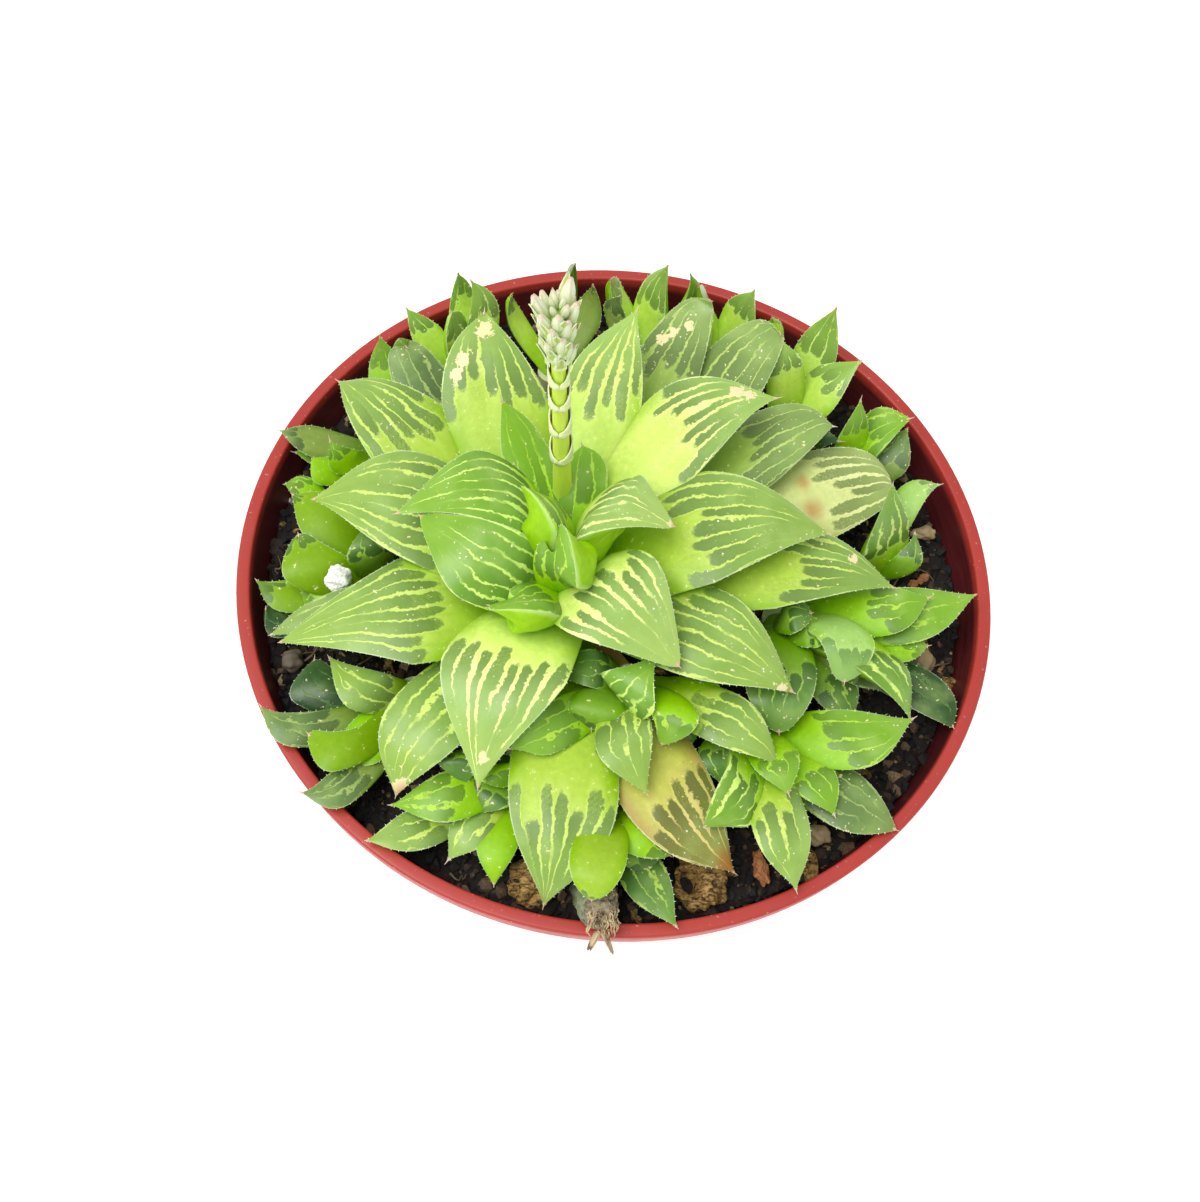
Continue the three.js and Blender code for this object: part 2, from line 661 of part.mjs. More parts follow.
const clearOfLeaves = (solid) => largestBody(taken.reduce((left, other) => left.subtract(other), solid));
for (const { name, place, size, turn, color } of loosePieces) {
  plant.add(named(name, toGeometry(clearOfLeaves(stone(place, size, turn, 0))), color, 0.9));
  holes.push(stone(place, size, turn, gap));
}
plant.add(named("dry_stump", toGeometry(clearOfLeaves(stumpSolid(0))), 0x8a7a60, 0.9));
holes.push(stumpSolid(gap));

const soil = holes.reduce((left, hole) => left.subtract(hole), soilSolid());
plant.add(named("soil", toGeometry(largestBody(soil)), 0x2b211b, 0.95));

export default plant;
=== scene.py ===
# %% [markdown]
# # A potted haworthia
#
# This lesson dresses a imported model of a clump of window-leaved haworthia in a round red nursery pot. The
# clump is one large rosette with fifteen small offsets round it. Its leaves are thick, filled with water, and
# each ends in a flat window: green, see-through tissue between pale lines that run together at the tip.
# Everything is worked out in millimetres, as one would measure the plant, and turned to Blender's metres at
# the end.
#
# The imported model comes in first. Its box is kept, so that the dressed plant can be compared with it at the
# end.

import math
import random

import bmesh
import bpy
import numpy as np
from mathutils import Matrix, Vector, noise


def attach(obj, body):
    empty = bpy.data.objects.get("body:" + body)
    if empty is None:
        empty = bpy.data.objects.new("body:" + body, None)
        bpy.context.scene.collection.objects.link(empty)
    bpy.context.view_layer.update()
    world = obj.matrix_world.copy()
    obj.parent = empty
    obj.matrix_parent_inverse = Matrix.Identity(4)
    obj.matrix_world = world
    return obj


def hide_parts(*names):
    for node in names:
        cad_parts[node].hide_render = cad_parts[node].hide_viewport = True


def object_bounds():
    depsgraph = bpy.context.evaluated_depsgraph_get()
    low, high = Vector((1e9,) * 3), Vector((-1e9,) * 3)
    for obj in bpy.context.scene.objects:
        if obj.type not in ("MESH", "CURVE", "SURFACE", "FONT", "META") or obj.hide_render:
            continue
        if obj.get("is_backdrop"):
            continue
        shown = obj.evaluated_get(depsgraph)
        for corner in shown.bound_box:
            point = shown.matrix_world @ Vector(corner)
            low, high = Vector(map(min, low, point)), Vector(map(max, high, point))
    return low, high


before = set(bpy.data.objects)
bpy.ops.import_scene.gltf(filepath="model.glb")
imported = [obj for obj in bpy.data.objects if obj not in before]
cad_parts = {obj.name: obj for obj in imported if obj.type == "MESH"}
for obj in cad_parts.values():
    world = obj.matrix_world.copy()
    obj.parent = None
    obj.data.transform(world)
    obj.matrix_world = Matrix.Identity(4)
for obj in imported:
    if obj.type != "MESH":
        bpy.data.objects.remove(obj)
packed_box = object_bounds()
scene = bpy.context.scene
MM = 0.001
print("nodes in the packed model:", len(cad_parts))

# %% [markdown]
# ## Helpers
#
# Colours are written as the hex values one would pick from a screen, and Blender works in linear light, so
# one function turns them. Materials and Geometry Nodes are both trees of nodes: one small function adds a
# node, sets its properties, and feeds each input with a value or with another node's output.

# %% Colours, nodes, meshes
def linear(hex_colour):
    """An sRGB hex colour as linear red, green, blue and full opacity."""
    shares = [int(hex_colour[at:at + 2], 16) / 255 for at in (1, 3, 5)]
    return tuple(s / 12.92 if s <= 0.04045 else ((s + 0.055) / 1.055) ** 2.4 for s in shares) + (1.0,)


# The kinds of node that come up most, and settings that many of them share.
MATH = "ShaderNodeMath"
VECTOR_MATH = "ShaderNodeVectorMath"
RANGE = "ShaderNodeMapRange"
MIX = "ShaderNodeMix"
NOISE = "ShaderNodeTexNoise"
BUMP = "ShaderNodeBump"
SURFACE_NOTE = "ShaderNodeAttribute"
COORDINATES = "ShaderNodeTexCoord"
MAPPING = "ShaderNodeMapping"
POINT_NOTE = "GeometryNodeInputNamedAttribute"
CHANCE = "FunctionNodeRandomValue"
BLEND = {"out": 2, "data_type": "RGBA"}
EASED = {"interpolation_type": "SMOOTHSTEP"}
# A noise's scale is how many of its bumps fit in a metre. Here they are counted in a centimetre, as on the
# plant: 9 * IN_A_CM is a bump every 1.1 mm.
IN_A_CM = 100


def add(tree, kind, feeds=None, out=0, **settings):
    """Adds a node and returns one of its outputs, or the node itself where out is None.

    A feed is another node's output, a value, or a colour as a hex string.
    """
    node = tree.nodes.new(kind)
    for name, value in settings.items():
        setattr(node, name, value)
    for key, value in (feeds or {}).items():
        if isinstance(value, bpy.types.NodeSocket):
            tree.links.new(value, node.inputs[key])
        elif isinstance(value, str) and value.startswith("#"):
            node.inputs[key].default_value = linear(value)
        else:
            node.inputs[key].default_value = value
    return node if out is None else node.outputs[out]


def start_material(name):
    """A material without nodes yet, and its tree."""
    material = bpy.data.materials.new(name)
    material.use_nodes = True
    material.node_tree.nodes.clear()
    return material, material.node_tree


def end_material(tree, feeds):
    """The surface shader, with what feeds it, and the output."""
    shader = add(tree, "ShaderNodeBsdfPrincipled", feeds)
    add(tree, "ShaderNodeOutputMaterial", {"Surface": shader}, out=None)
    print("a finish of", len(tree.nodes), "nodes")


def new_piece(name, points, faces, *finishes):
    """A smooth mesh object from points in millimetres."""
    mesh = bpy.data.meshes.new(name)
    mesh.from_pydata([tuple(np.array(point) * MM) for point in points], [], faces)
    mesh.shade_smooth()
    for finish in finishes:
        mesh.materials.append(finish)
    piece = bpy.data.objects.new(name, mesh)
    scene.collection.objects.link(piece)
    return piece


def note(mesh, name, values, kind="FLOAT"):
    """Writes one value, vector or colour to each point of a mesh, for the nodes to read."""
    field = {"FLOAT": "value", "FLOAT_VECTOR": "vector", "FLOAT_COLOR": "color"}[kind]
    attribute = mesh.attributes.new(name, kind, "POINT")
    attribute.data.foreach_set(field, np.asarray(values, np.float32).ravel())


def deliver(piece, slot, *nodes):
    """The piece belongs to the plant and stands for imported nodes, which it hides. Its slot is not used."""
    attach(piece, "root")
    if nodes:
        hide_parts(*nodes)
    faces = sum(len(polygon.vertices) - 2 for polygon in piece.data.polygons)
    print(f"{piece.name}: {faces} triangles")


print("mid grey in linear light:", round(linear("#808080")[0], 3))

# %% [markdown]
# ## The camera
#
# The plant is seen from the front and well above, from about 30 cm. The eye is named because the leaves'
# places below are read as they look from it. The camera looks at a point inside the clump, and it is held a
# little askew, so its sideways axis is turned about the line of sight.

# %% Camera
EYE = Vector((-2.7, -148.0, 353.6))
SIGHT_DOWN = math.radians(62.29)
ASKEW = math.radians(7.98)
LENS = 45.7

ahead = Vector((0, math.cos(SIGHT_DOWN), -math.sin(SIGHT_DOWN)))
sideways = Vector((1, 0, 0))
upwards = sideways.cross(ahead)
camera_right = sideways * math.cos(ASKEW) + upwards * math.sin(ASKEW)
camera_up = upwards * math.cos(ASKEW) - sideways * math.sin(ASKEW)

camera_data = bpy.data.cameras.new("eye")
camera_data.lens = LENS
camera_data.clip_start = 0.01
camera = bpy.data.objects.new("eye", camera_data)
scene.collection.objects.link(camera)
axes = Matrix((camera_right, camera_up, -ahead)).transposed().to_4x4()
camera.matrix_world = Matrix.Translation(EYE * MM) @ axes
scene.camera = camera
print("camera at", tuple(round(value, 4) for value in camera.location))

# %% [markdown]
# ## Light and floor
#
# The leaves are seen in bright, even light with hardly a shadow. A white sky gives most of it. One wide soft
# lamp above, a little to the left, gives the leaves their round shading and the windows their sheen. The
# standard view keeps the greens as fresh as they are, where a film-like view would grey them.

# %% Light and floor
SKY_STRENGTH = 0.6
LAMP_WATTS = 9.5
LAMP_PLACE = (-0.35, -0.25, 1.1)
LAMP_SIZE = 0.7
TABLE_GLOW = 0.5
FLOOR_SIZE = 8

scene.view_settings.view_transform = "Standard"
sky = bpy.data.worlds.new("white studio")
sky.use_nodes = True
sky.node_tree.nodes["Background"].inputs["Color"].default_value = linear("#FFFFFF")
sky.node_tree.nodes["Background"].inputs["Strength"].default_value = SKY_STRENGTH
scene.world = sky

lamp_data = bpy.data.lights.new("soft_box", "AREA")
lamp_data.energy = LAMP_WATTS
lamp_data.size = LAMP_SIZE
lamp = bpy.data.objects.new("soft_box", lamp_data)
scene.collection.objects.link(lamp)
lamp.location = LAMP_PLACE
lamp.rotation_mode = "QUATERNION"
lamp.rotation_quaternion = (Vector((0, 0, 0.1)) - lamp.location).to_track_quat("-Z", "Y")

# The table is a sheet of white acrylic lit from below, so it stays white round the pot and takes no shadow.
floor_finish, tree = start_material("opal acrylic, lit from below")
end_material(tree, {"Base Color": "#FAFAFA", "Roughness": 0.8, "Emission Color": "#FFFFFF",
                    "Emission Strength": TABLE_GLOW})
half = FLOOR_SIZE / 2 / MM
corners = [(-half, -half, 0), (half, -half, 0), (half, half, 0), (-half, half, 0)]
floor = new_piece("floor", corners, [(0, 1, 2, 3)], floor_finish)
floor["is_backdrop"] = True
print("lights:", LAMP_WATTS, "W lamp, sky", SKY_STRENGTH)

# %% [markdown]
# ## The pot
#
# The pot is injection-moulded polypropylene: thin, with a wall that leans outwards so that pots stack, a
# narrow lip, and drain holes in its floor. A turned profile is the natural way to make it. The profile is
# drawn once, going round the wall's section, and turned about the axis. A Boolean modifier then cuts the
# drain holes.

# %% Pot sizes and profile
POT_HEIGHT = 88
RIM_RADIUS = 75
RIM_WIDTH = 2.7
FOOT_RADIUS = 50.5
FOOT_WIDTH = 6
FOOT_RISE = 1.5
WALL = 1.5
LIP_DROP = 5
FLOOR_TOP = 3.5
LIP_OVERHANG = 1.7
LIP_LEAN = 0.5
RIM_ROUND = 0.6
EDGE_ROUND = 0.4
FOOT_ROUND = 0.3
FLOOR_ROUND = 1.6
GROOVES = [(11, 0.3), (79.5, 0.25)]
GROOVE_WIDTH = 0.9
WALL_STEPS = 60
INSIDE_STEPS = 24
wall_top = POT_HEIGHT - LIP_DROP
wall_slope = (RIM_RADIUS - LIP_OVERHANG - FOOT_RADIUS) / wall_top
foot_inside = FOOT_RADIUS - FOOT_WIDTH


def outer_radius(height):
    """The outside of the plain wall, which leans outwards."""
    return FOOT_RADIUS + wall_slope * height


def rounded(corner_r, corner_z, start_degrees, end_degrees, radius=RIM_ROUND, steps=5):
    """A small arc for an edge that the mould has rounded."""
    sweep = end_degrees - start_degrees
    turns = [math.radians(start_degrees + sweep * step / steps) for step in range(steps + 1)]
    return [(corner_r + radius * math.cos(turn), corner_z + radius * math.sin(turn)) for turn in turns]


def wall_with_grooves():
    """The outside of the wall from the foot to the lip. A groove is its height and its depth."""
    clear_height = wall_top - 2 * EDGE_ROUND
    heights = [EDGE_ROUND + clear_height * step / WALL_STEPS for step in range(WALL_STEPS + 1)]
    depth = lambda z: sum(deep * math.exp(-((z - at) / GROOVE_WIDTH) ** 2) for at, deep in GROOVES)
    return [(outer_radius(z) - depth(z), z) for z in heights]


profile = [(0, FOOT_RISE), (foot_inside, FOOT_RISE), (foot_inside, FOOT_ROUND)]
profile += rounded(foot_inside + FOOT_ROUND, FOOT_ROUND, 180, 270, FOOT_ROUND, 3)
profile += rounded(FOOT_RADIUS - EDGE_ROUND, EDGE_ROUND, 270, 360, EDGE_ROUND, 3)
profile += wall_with_grooves()
profile += rounded(RIM_RADIUS - LIP_LEAN - EDGE_ROUND, wall_top + EDGE_ROUND, 270, 360, EDGE_ROUND, 3)
profile += rounded(RIM_RADIUS - RIM_ROUND, POT_HEIGHT - RIM_ROUND, 0, 90)
profile += rounded(RIM_RADIUS - RIM_WIDTH + RIM_ROUND, POT_HEIGHT - RIM_ROUND, 90, 180)
profile += [(outer_radius(z) - WALL, z) for z in np.linspace(wall_top, FLOOR_TOP + 2, INSIDE_STEPS)]
profile += rounded(outer_radius(FLOOR_TOP) - WALL - FLOOR_ROUND, FLOOR_TOP + FLOOR_ROUND, 0, -90, FLOOR_ROUND)
profile += [(0, FLOOR_TOP)]
print("pot profile:", len(profile), "points")

# %% Rings, bands and turned bodies
def circle(radius, height, sides, x=0, y=0):
    """A level ring of points."""
    turns = [2 * math.pi * side / sides for side in range(sides)]
    return [(x + radius * math.cos(turn), y + radius * math.sin(turn), height) for turn in turns]


def bands(rings, sides, start=0):
    """The faces between rings of points. The first point's number is start."""
    faces = []
    for ring in range(rings):
        here = start + ring * sides
        there = here + sides
        for side in range(sides):
            after = (side + 1) % sides
            faces.append((here + side, here + after, there + after, there + side))
    return faces


def turned(name, outline, sides, finish):
    """A closed body of revolution. The outline starts and ends on the axis."""
    points = [(0, 0, outline[0][1])]
    for radius, height in outline[1:-1]:
        points += circle(radius, height, sides)
    points.append((0, 0, outline[-1][1]))
    faces = [(0, 1 + (side + 1) % sides, 1 + side) for side in range(sides)]
    faces += bands(len(outline) - 3, sides, start=1)
    last = len(points) - 1 - sides
    faces += [(last + side, last + (side + 1) % sides, len(points) - 1) for side in range(sides)]
    return new_piece(name, points, faces, finish)

# %% The pot's plastic
# Where the painted shade and soil marks inside the wall start below the rim, and where they are full.
SHADE_AND_SOIL_FROM = 0.8
SHADE_AND_SOIL_FULL = 3

pot_finish, tree = start_material("moulded polypropylene, terracotta red")
place = add(tree, COORDINATES, out="Object")
# Polypropylene is satin. The pot has been handled: fine scuffs run round it, and dust dulls it in patches.
cloudy = add(tree, NOISE, {"Vector": place, "Scale": 0.55 * IN_A_CM, "Detail": 5, "Roughness": 0.6})
speckled = add(tree, NOISE, {"Vector": place, "Scale": 14 * IN_A_CM, "Detail": 3})
level = add(tree, MAPPING, {"Vector": place, "Scale": (1, 1, 14)})
streaked = add(tree, NOISE, {"Vector": level, "Scale": 0.9 * IN_A_CM, "Detail": 4})
red = add(tree, MIX, {0: cloudy, 6: "#A8322A", 7: "#BC3F35"}, **BLEND)
dusty = add(tree, RANGE, {0: speckled, 1: 0.66, 2: 0.74, 3: 0.0, 4: 0.5})
dusted = add(tree, MIX, {0: dusty, 6: red, 7: "#E2A79C"}, **BLEND)
# The inside of the wall is painted darker in streaks from just below the rim downwards: painted shade, with
# some marks of water and soil.
x, y, z = add(tree, "ShaderNodeSeparateXYZ", {0: place}, out=None).outputs
from_axis = add(tree, VECTOR_MATH, {0: add(tree, "ShaderNodeCombineXYZ", {0: x, 1: y})},
                out="Value", operation="LENGTH")
wall_middle = add(tree, MATH, {0: z, 1: wall_slope, 2: (FOOT_RADIUS - WALL / 2) * MM},
                  operation="MULTIPLY_ADD")
inside = add(tree, MATH, {0: wall_middle, 1: from_axis}, operation="GREATER_THAN")
below_rim = add(tree, RANGE, {0: z, 1: (POT_HEIGHT - SHADE_AND_SOIL_FROM) * MM, 2: (POT_HEIGHT - SHADE_AND_SOIL_FULL) * MM},
                **EASED)
shade_and_soil_mask = add(tree, MATH, {0: inside, 1: below_rim}, operation="MULTIPLY")
shade_and_soil_colour = add(tree, MIX, {0: streaked, 6: "#3A0F16", 7: "#6E2426"}, **BLEND)
colour = add(tree, MIX, {0: shade_and_soil_mask, 6: dusted, 7: shade_and_soil_colour}, **BLEND)
gloss = add(tree, RANGE, {0: streaked, 1: 0.3, 2: 0.7, 3: 0.36, 4: 0.52})
grain = add(tree, BUMP, {"Strength": 0.25, "Distance": 0.1 * MM, "Height": streaked})
end_material(tree, {"Base Color": colour, "Roughness": gloss, "Normal": grain, "IOR": 1.49})

# %% Turn the pot and cut its drain holes
POT_SIDES = 160
DRAIN_HOLES = 8
DRAIN_RADIUS = 4
DRAIN_CIRCLE = 34
DRILL_SIDES = 24
DRILL_REACH = (-1, 6)
SHARP_FROM = 50

pot = turned("moulded_pot", profile, POT_SIDES, pot_finish)
below, above = DRILL_REACH
drill_outline = [(0, below), (DRAIN_RADIUS, below), (DRAIN_RADIUS, above), (0, above)]
drill = []
for hole in range(DRAIN_HOLES):
    turn = 2 * math.pi * hole / DRAIN_HOLES
    place = Vector((math.cos(turn), math.sin(turn), 0)) * DRAIN_CIRCLE * MM
    cutter = turned(f"drill_{hole}", drill_outline, DRILL_SIDES, pot_finish)
    cutter.data.transform(Matrix.Translation(place))
    drill.append(cutter)
    cut = pot.modifiers.new("drain hole", "BOOLEAN")
    cut.object = cutter
    cut.solver = "EXACT"
depsgraph = bpy.context.evaluated_depsgraph_get()
drilled = bpy.data.meshes.new_from_object(pot.evaluated_get(depsgraph), depsgraph=depsgraph)
pot.modifiers.clear()
pot.data = drilled
pot.data.set_sharp_from_angle(angle=math.radians(SHARP_FROM))
for cutter in drill:
    bpy.data.objects.remove(cutter)
deliver(pot, "pot", "pot")

# %% [markdown]
# ## Growing things with Geometry Nodes
#
# Soil crumbs, the tiny teeth on a leaf's margin, bristles, roots and bracts all repeat, on a surface or along
# a line. Geometry Nodes fit that. Each tree is built here with named sizes. A guide object carries the
# surface or the lines, the tree runs on it, and the evaluated result is kept as a plain mesh, so that nothing
# live is left behind.

# %% Start a tree, run a tree
def start_tree(name, sizes):
    """A Geometry Nodes tree with named inputs, each with its kind of socket and, but for objects, a value."""
    tree = bpy.data.node_groups.new(name, "GeometryNodeTree")
    tree.interface.new_socket("Geometry", in_out="INPUT", socket_type="NodeSocketGeometry")
    for label, kind, value in sizes:
        socket = tree.interface.new_socket(label, in_out="INPUT", socket_type="NodeSocket" + kind)
        if value is not None:
            socket.default_value = value
    tree.interface.new_socket("Geometry", in_out="OUTPUT", socket_type="NodeSocketGeometry")
    return tree, add(tree, "NodeGroupInput", out=None).outputs


def end_tree(tree, geometry, finish):
    """Makes the instances real and gives them their finish."""
    real = add(tree, "GeometryNodeRealizeInstances", {"Geometry": geometry})
    painted = add(tree, "GeometryNodeSetMaterial", {"Geometry": real, "Material": finish})
    add(tree, "NodeGroupOutput", {0: painted}, out=None)
    print(f"{tree.name}: {len(tree.nodes)} nodes")


def grow(name, guide, tree, values, keep_guide=False):
    """Runs a tree on a guide and returns the result as a new, plain mesh object."""
    modifier = guide.modifiers.new("grow", "NODES")
    modifier.node_group = tree
    for item in tree.interface.items_tree:
        if item.item_type == "SOCKET" and item.in_out == "INPUT" and item.name in values:
            modifier[item.identifier] = values[item.name]
    depsgraph = bpy.context.evaluated_depsgraph_get()
    mesh = bpy.data.meshes.new_from_object(guide.evaluated_get(depsgraph), depsgraph=depsgraph)
    mesh.name = name
    guide.modifiers.remove(modifier)
    if not keep_guide:
        bpy.data.objects.remove(guide)
    piece = bpy.data.objects.new(name, mesh)
    scene.collection.objects.link(piece)
    return piece


def guide_lines(lines, **notes):
    """An object of bare lines, each a list of points in millimetres, with notes on their points."""
    points = [tuple(np.array(point) * MM) for line in lines for point in line]
    edges = []
    start = 0
    for line in lines:
        edges += [(start + step, start + step + 1) for step in range(len(line) - 1)]
        start += len(line)
    mesh = bpy.data.meshes.new("guide")
    mesh.from_pydata(points, edges, [])
    for name, values in notes.items():
        note(mesh, name, values, "FLOAT_VECTOR" if np.ndim(values) == 2 else "FLOAT")
    guide = bpy.data.objects.new("guide", mesh)
    scene.collection.objects.link(guide)
    return guide

# %% The tree for crumbs on a surface
crumb_tree, size = start_tree("crumbs on a surface", [
    ("Per square metre", "Float", 1.0), ("Smallest", "Float", 0.0005), ("Largest", "Float", 0.002),
    ("Flatness", "Float", 0.7), ("Seed", "Int", 1), ("Finish", "Material", None)])
wanted = add(crumb_tree, POINT_NOTE, {"Name": "bare"}, data_type="FLOAT")
facing = add(crumb_tree, "ShaderNodeSeparateXYZ", {0: add(crumb_tree, "GeometryNodeInputNormal")}, out="Z")
on_top = add(crumb_tree, MATH, {0: facing, 1: 0.4}, operation="GREATER_THAN")
density = add(crumb_tree, MATH, {0: wanted, 1: size["Per square metre"]}, operation="MULTIPLY")
density = add(crumb_tree, MATH, {0: density, 1: on_top}, operation="MULTIPLY")
spots = add(crumb_tree, "GeometryNodeDistributePointsOnFaces", {
    "Mesh": size["Geometry"], "Density": density, "Seed": size["Seed"]}, distribute_method="RANDOM")
chance = add(crumb_tree, CHANCE, {"Seed": size["Seed"]}, out=1, data_type="FLOAT")
rare = add(crumb_tree, MATH, {0: chance, 1: 2.5}, operation="POWER")
radius = add(crumb_tree, RANGE, {0: rare, 3: size["Smallest"], 4: size["Largest"]})
thin = add(crumb_tree, MATH, {0: radius, 1: size["Flatness"]}, operation="MULTIPLY")
narrow = add(crumb_tree, MATH, {0: radius, 1: 0.8}, operation="MULTIPLY")
shape = add(crumb_tree, "ShaderNodeCombineXYZ", {0: radius, 1: narrow, 2: thin})
turn = add(crumb_tree, CHANCE, {0: (0, 0, 0), 1: (6.3, 6.3, 6.3), "Seed": 7}, data_type="FLOAT_VECTOR")
ball = add(crumb_tree, "GeometryNodeMeshIcoSphere", {"Radius": 1.0, "Subdivisions": 1})
strewn = add(crumb_tree, "GeometryNodeInstanceOnPoints", {
    "Points": spots, "Instance": ball, "Rotation": turn, "Scale": shape})
tone = add(crumb_tree, CHANCE, {"Seed": 3}, out=1, data_type="FLOAT")
noted = strewn
for name, value in (("tone", tone), ("radius", radius)):
    noted = add(crumb_tree, "GeometryNodeStoreNamedAttribute", {
        "Geometry": noted, "Name": name, "Value": value}, data_type="FLOAT", domain="INSTANCE")
real = add(crumb_tree, "GeometryNodeRealizeInstances", {"Geometry": noted})
place = add(crumb_tree, "GeometryNodeInputPosition")
bumpy = add(crumb_tree, NOISE, {"Vector": place, "Scale": 9 * IN_A_CM, "Detail": 1.0}, out=1)
centred = add(crumb_tree, VECTOR_MATH, {0: bumpy, 1: (0.5, 0.5, 0.5)}, operation="SUBTRACT")
kept_radius = add(crumb_tree, POINT_NOTE, {"Name": "radius"}, data_type="FLOAT")
shift = add(crumb_tree, VECTOR_MATH, {0: centred, "Scale": kept_radius}, operation="SCALE")
shift = add(crumb_tree, VECTOR_MATH, {0: shift, "Scale": 1.6}, operation="SCALE")
rough = add(crumb_tree, "GeometryNodeSetPosition", {"Geometry": real, "Offset": shift})
end_tree(crumb_tree, rough, size["Finish"])

# %% The tree for bristles, roots and fibres
fibre_tree, size = start_tree("fibres on lines", [
    ("Thickness", "Float", 0.0003), ("Tip share", "Float", 0.3), ("Finish", "Material", None)])
strands = add(fibre_tree, "GeometryNodeMeshToCurve", {"Mesh": size["Geometry"]})
smooth = add(fibre_tree, "GeometryNodeCurveSplineType", {"Curve": strands}, spline_type="CATMULL_ROM")
even = add(fibre_tree, "GeometryNodeResampleCurve", {"Curve": smooth, "Count": 9}, mode="COUNT")
way_along = add(fibre_tree, "GeometryNodeSplineParameter")
taper = add(fibre_tree, RANGE, {0: way_along, 3: 1.0, 4: size["Tip share"]})
girth = add(fibre_tree, POINT_NOTE, {"Name": "girth"}, data_type="FLOAT")
thick = add(fibre_tree, MATH, {0: taper, 1: girth}, operation="MULTIPLY")
thick = add(fibre_tree, MATH, {0: thick, 1: size["Thickness"]}, operation="MULTIPLY")
ring = add(fibre_tree, "GeometryNodeCurvePrimitiveCircle", {"Resolution": 5, "Radius": 0.5})
tubes = add(fibre_tree, "GeometryNodeCurveToMesh", {
    "Curve": even, "Profile Curve": ring, "Scale": thick, "Fill Caps": True})
end_tree(fibre_tree, tubes, size["Finish"])

# %% The tree for the teeth on a leaf's margin
tooth_tree, size = start_tree("teeth on a margin", [
    ("Spacing", "Float", 0.001), ("Length", "Float", 0.0004), ("Width", "Float", 0.0003), ("Seed", "Int", 1),
    ("Finish", "Material", None)])
margins = add(tooth_tree, "GeometryNodeMeshToCurve", {"Mesh": size["Geometry"]})
stops = add(tooth_tree, "GeometryNodeResampleCurve", {"Curve": margins, "Length": size["Spacing"]},
            mode="LENGTH")
outward = add(tooth_tree, POINT_NOTE, {"Name": "outward"}, data_type="FLOAT_VECTOR")
facing = add(tooth_tree, "FunctionNodeAlignRotationToVector", {"Vector": outward}, axis="Z")
foot_radius = add(tooth_tree, MATH, {0: size["Width"], 1: 0.5}, operation="MULTIPLY")
tooth = add(tooth_tree, "GeometryNodeMeshCone", {
    "Vertices": 4, "Radius Top": 0.0, "Radius Bottom": foot_radius, "Depth": size["Length"]})
stretch = add(tooth_tree, CHANCE, {2: 0.5, 3: 1.25, "Seed": size["Seed"]}, out=1, data_type="FLOAT")
toothed = add(tooth_tree, "GeometryNodeInstanceOnPoints", {
    "Points": stops, "Instance": tooth, "Rotation": facing, "Scale": stretch})
end_tree(tooth_tree, toothed, size["Finish"])

# %% The tree for parts that spiral round a stalk
GOLDEN_TURN = math.pi * (3 - math.sqrt(5))
spiral_tree, size = start_tree("parts in a spiral round a stalk", [
    ("Part", "Object", None), ("First turn", "Float", 0.0), ("Turn step", "Float", GOLDEN_TURN),
    ("Finish", "Material", None)])
axis = add(spiral_tree, POINT_NOTE, {"Name": "axis"}, data_type="FLOAT_VECTOR")
upright = add(spiral_tree, "FunctionNodeAlignRotationToVector", {"Vector": axis}, axis="Z")
number = add(spiral_tree, "GeometryNodeInputIndex")
turn = add(spiral_tree, MATH, {0: number, 1: size["Turn step"], 2: size["First turn"]},
           operation="MULTIPLY_ADD")
spin = add(spiral_tree, "FunctionNodeAxisAngleToRotation", {"Axis": (0, 0, 1), "Angle": turn})
turned_part = add(spiral_tree, "FunctionNodeRotateRotation", {0: upright, 1: spin}, rotation_space="LOCAL")
part = add(spiral_tree, "GeometryNodeObjectInfo", {"Object": size["Part"], "As Instance": False},
           out="Geometry")
scale = add(spiral_tree, POINT_NOTE, {"Name": "scale"}, data_type="FLOAT")
placed = add(spiral_tree, "GeometryNodeInstanceOnPoints", {
    "Points": size["Geometry"], "Instance": part, "Rotation": turned_part, "Scale": scale})
end_tree(spiral_tree, placed, size["Finish"])
print("trees:", len(bpy.data.node_groups))

# %% [markdown]
# ## The soil
#
# A cactus mix is nearly black when damp, with bits of bark, roots and a few white grains of perlite in it.
# The ground is one solid that fills the pot, with soft humps. Crumbs are strewn over it by Geometry Nodes,
# few under the leaves and many in the ring that shows. A note on the ground's points, "bare", says how much
# of it shows.

# %% The soil's level and its finish
SOIL_LEVEL = 80
SOIL_RELIEF = 2.4


def soil_top(x, y):
    """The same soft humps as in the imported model."""
    waves = math.sin(0.31 * x + 0.7) * math.cos(0.27 * y) + 0.6 * math.sin(0.53 * y - 0.21 * x)
    return SOIL_LEVEL - SOIL_RELIEF * (0.5 + 0.3 * waves)


def clods(x, y):
    """Lumps of about 3 mm and 1 mm."""
    coarse = noise.noise(Vector((x * 0.35, y * 0.35, 1.7)))
    return 0.9 * coarse + 0.5 * noise.noise(Vector((x * 0.9, y * 0.9, 5.1)))


soil_finish, tree = start_material("damp potting mix")
place = add(tree, COORDINATES, out="Object")
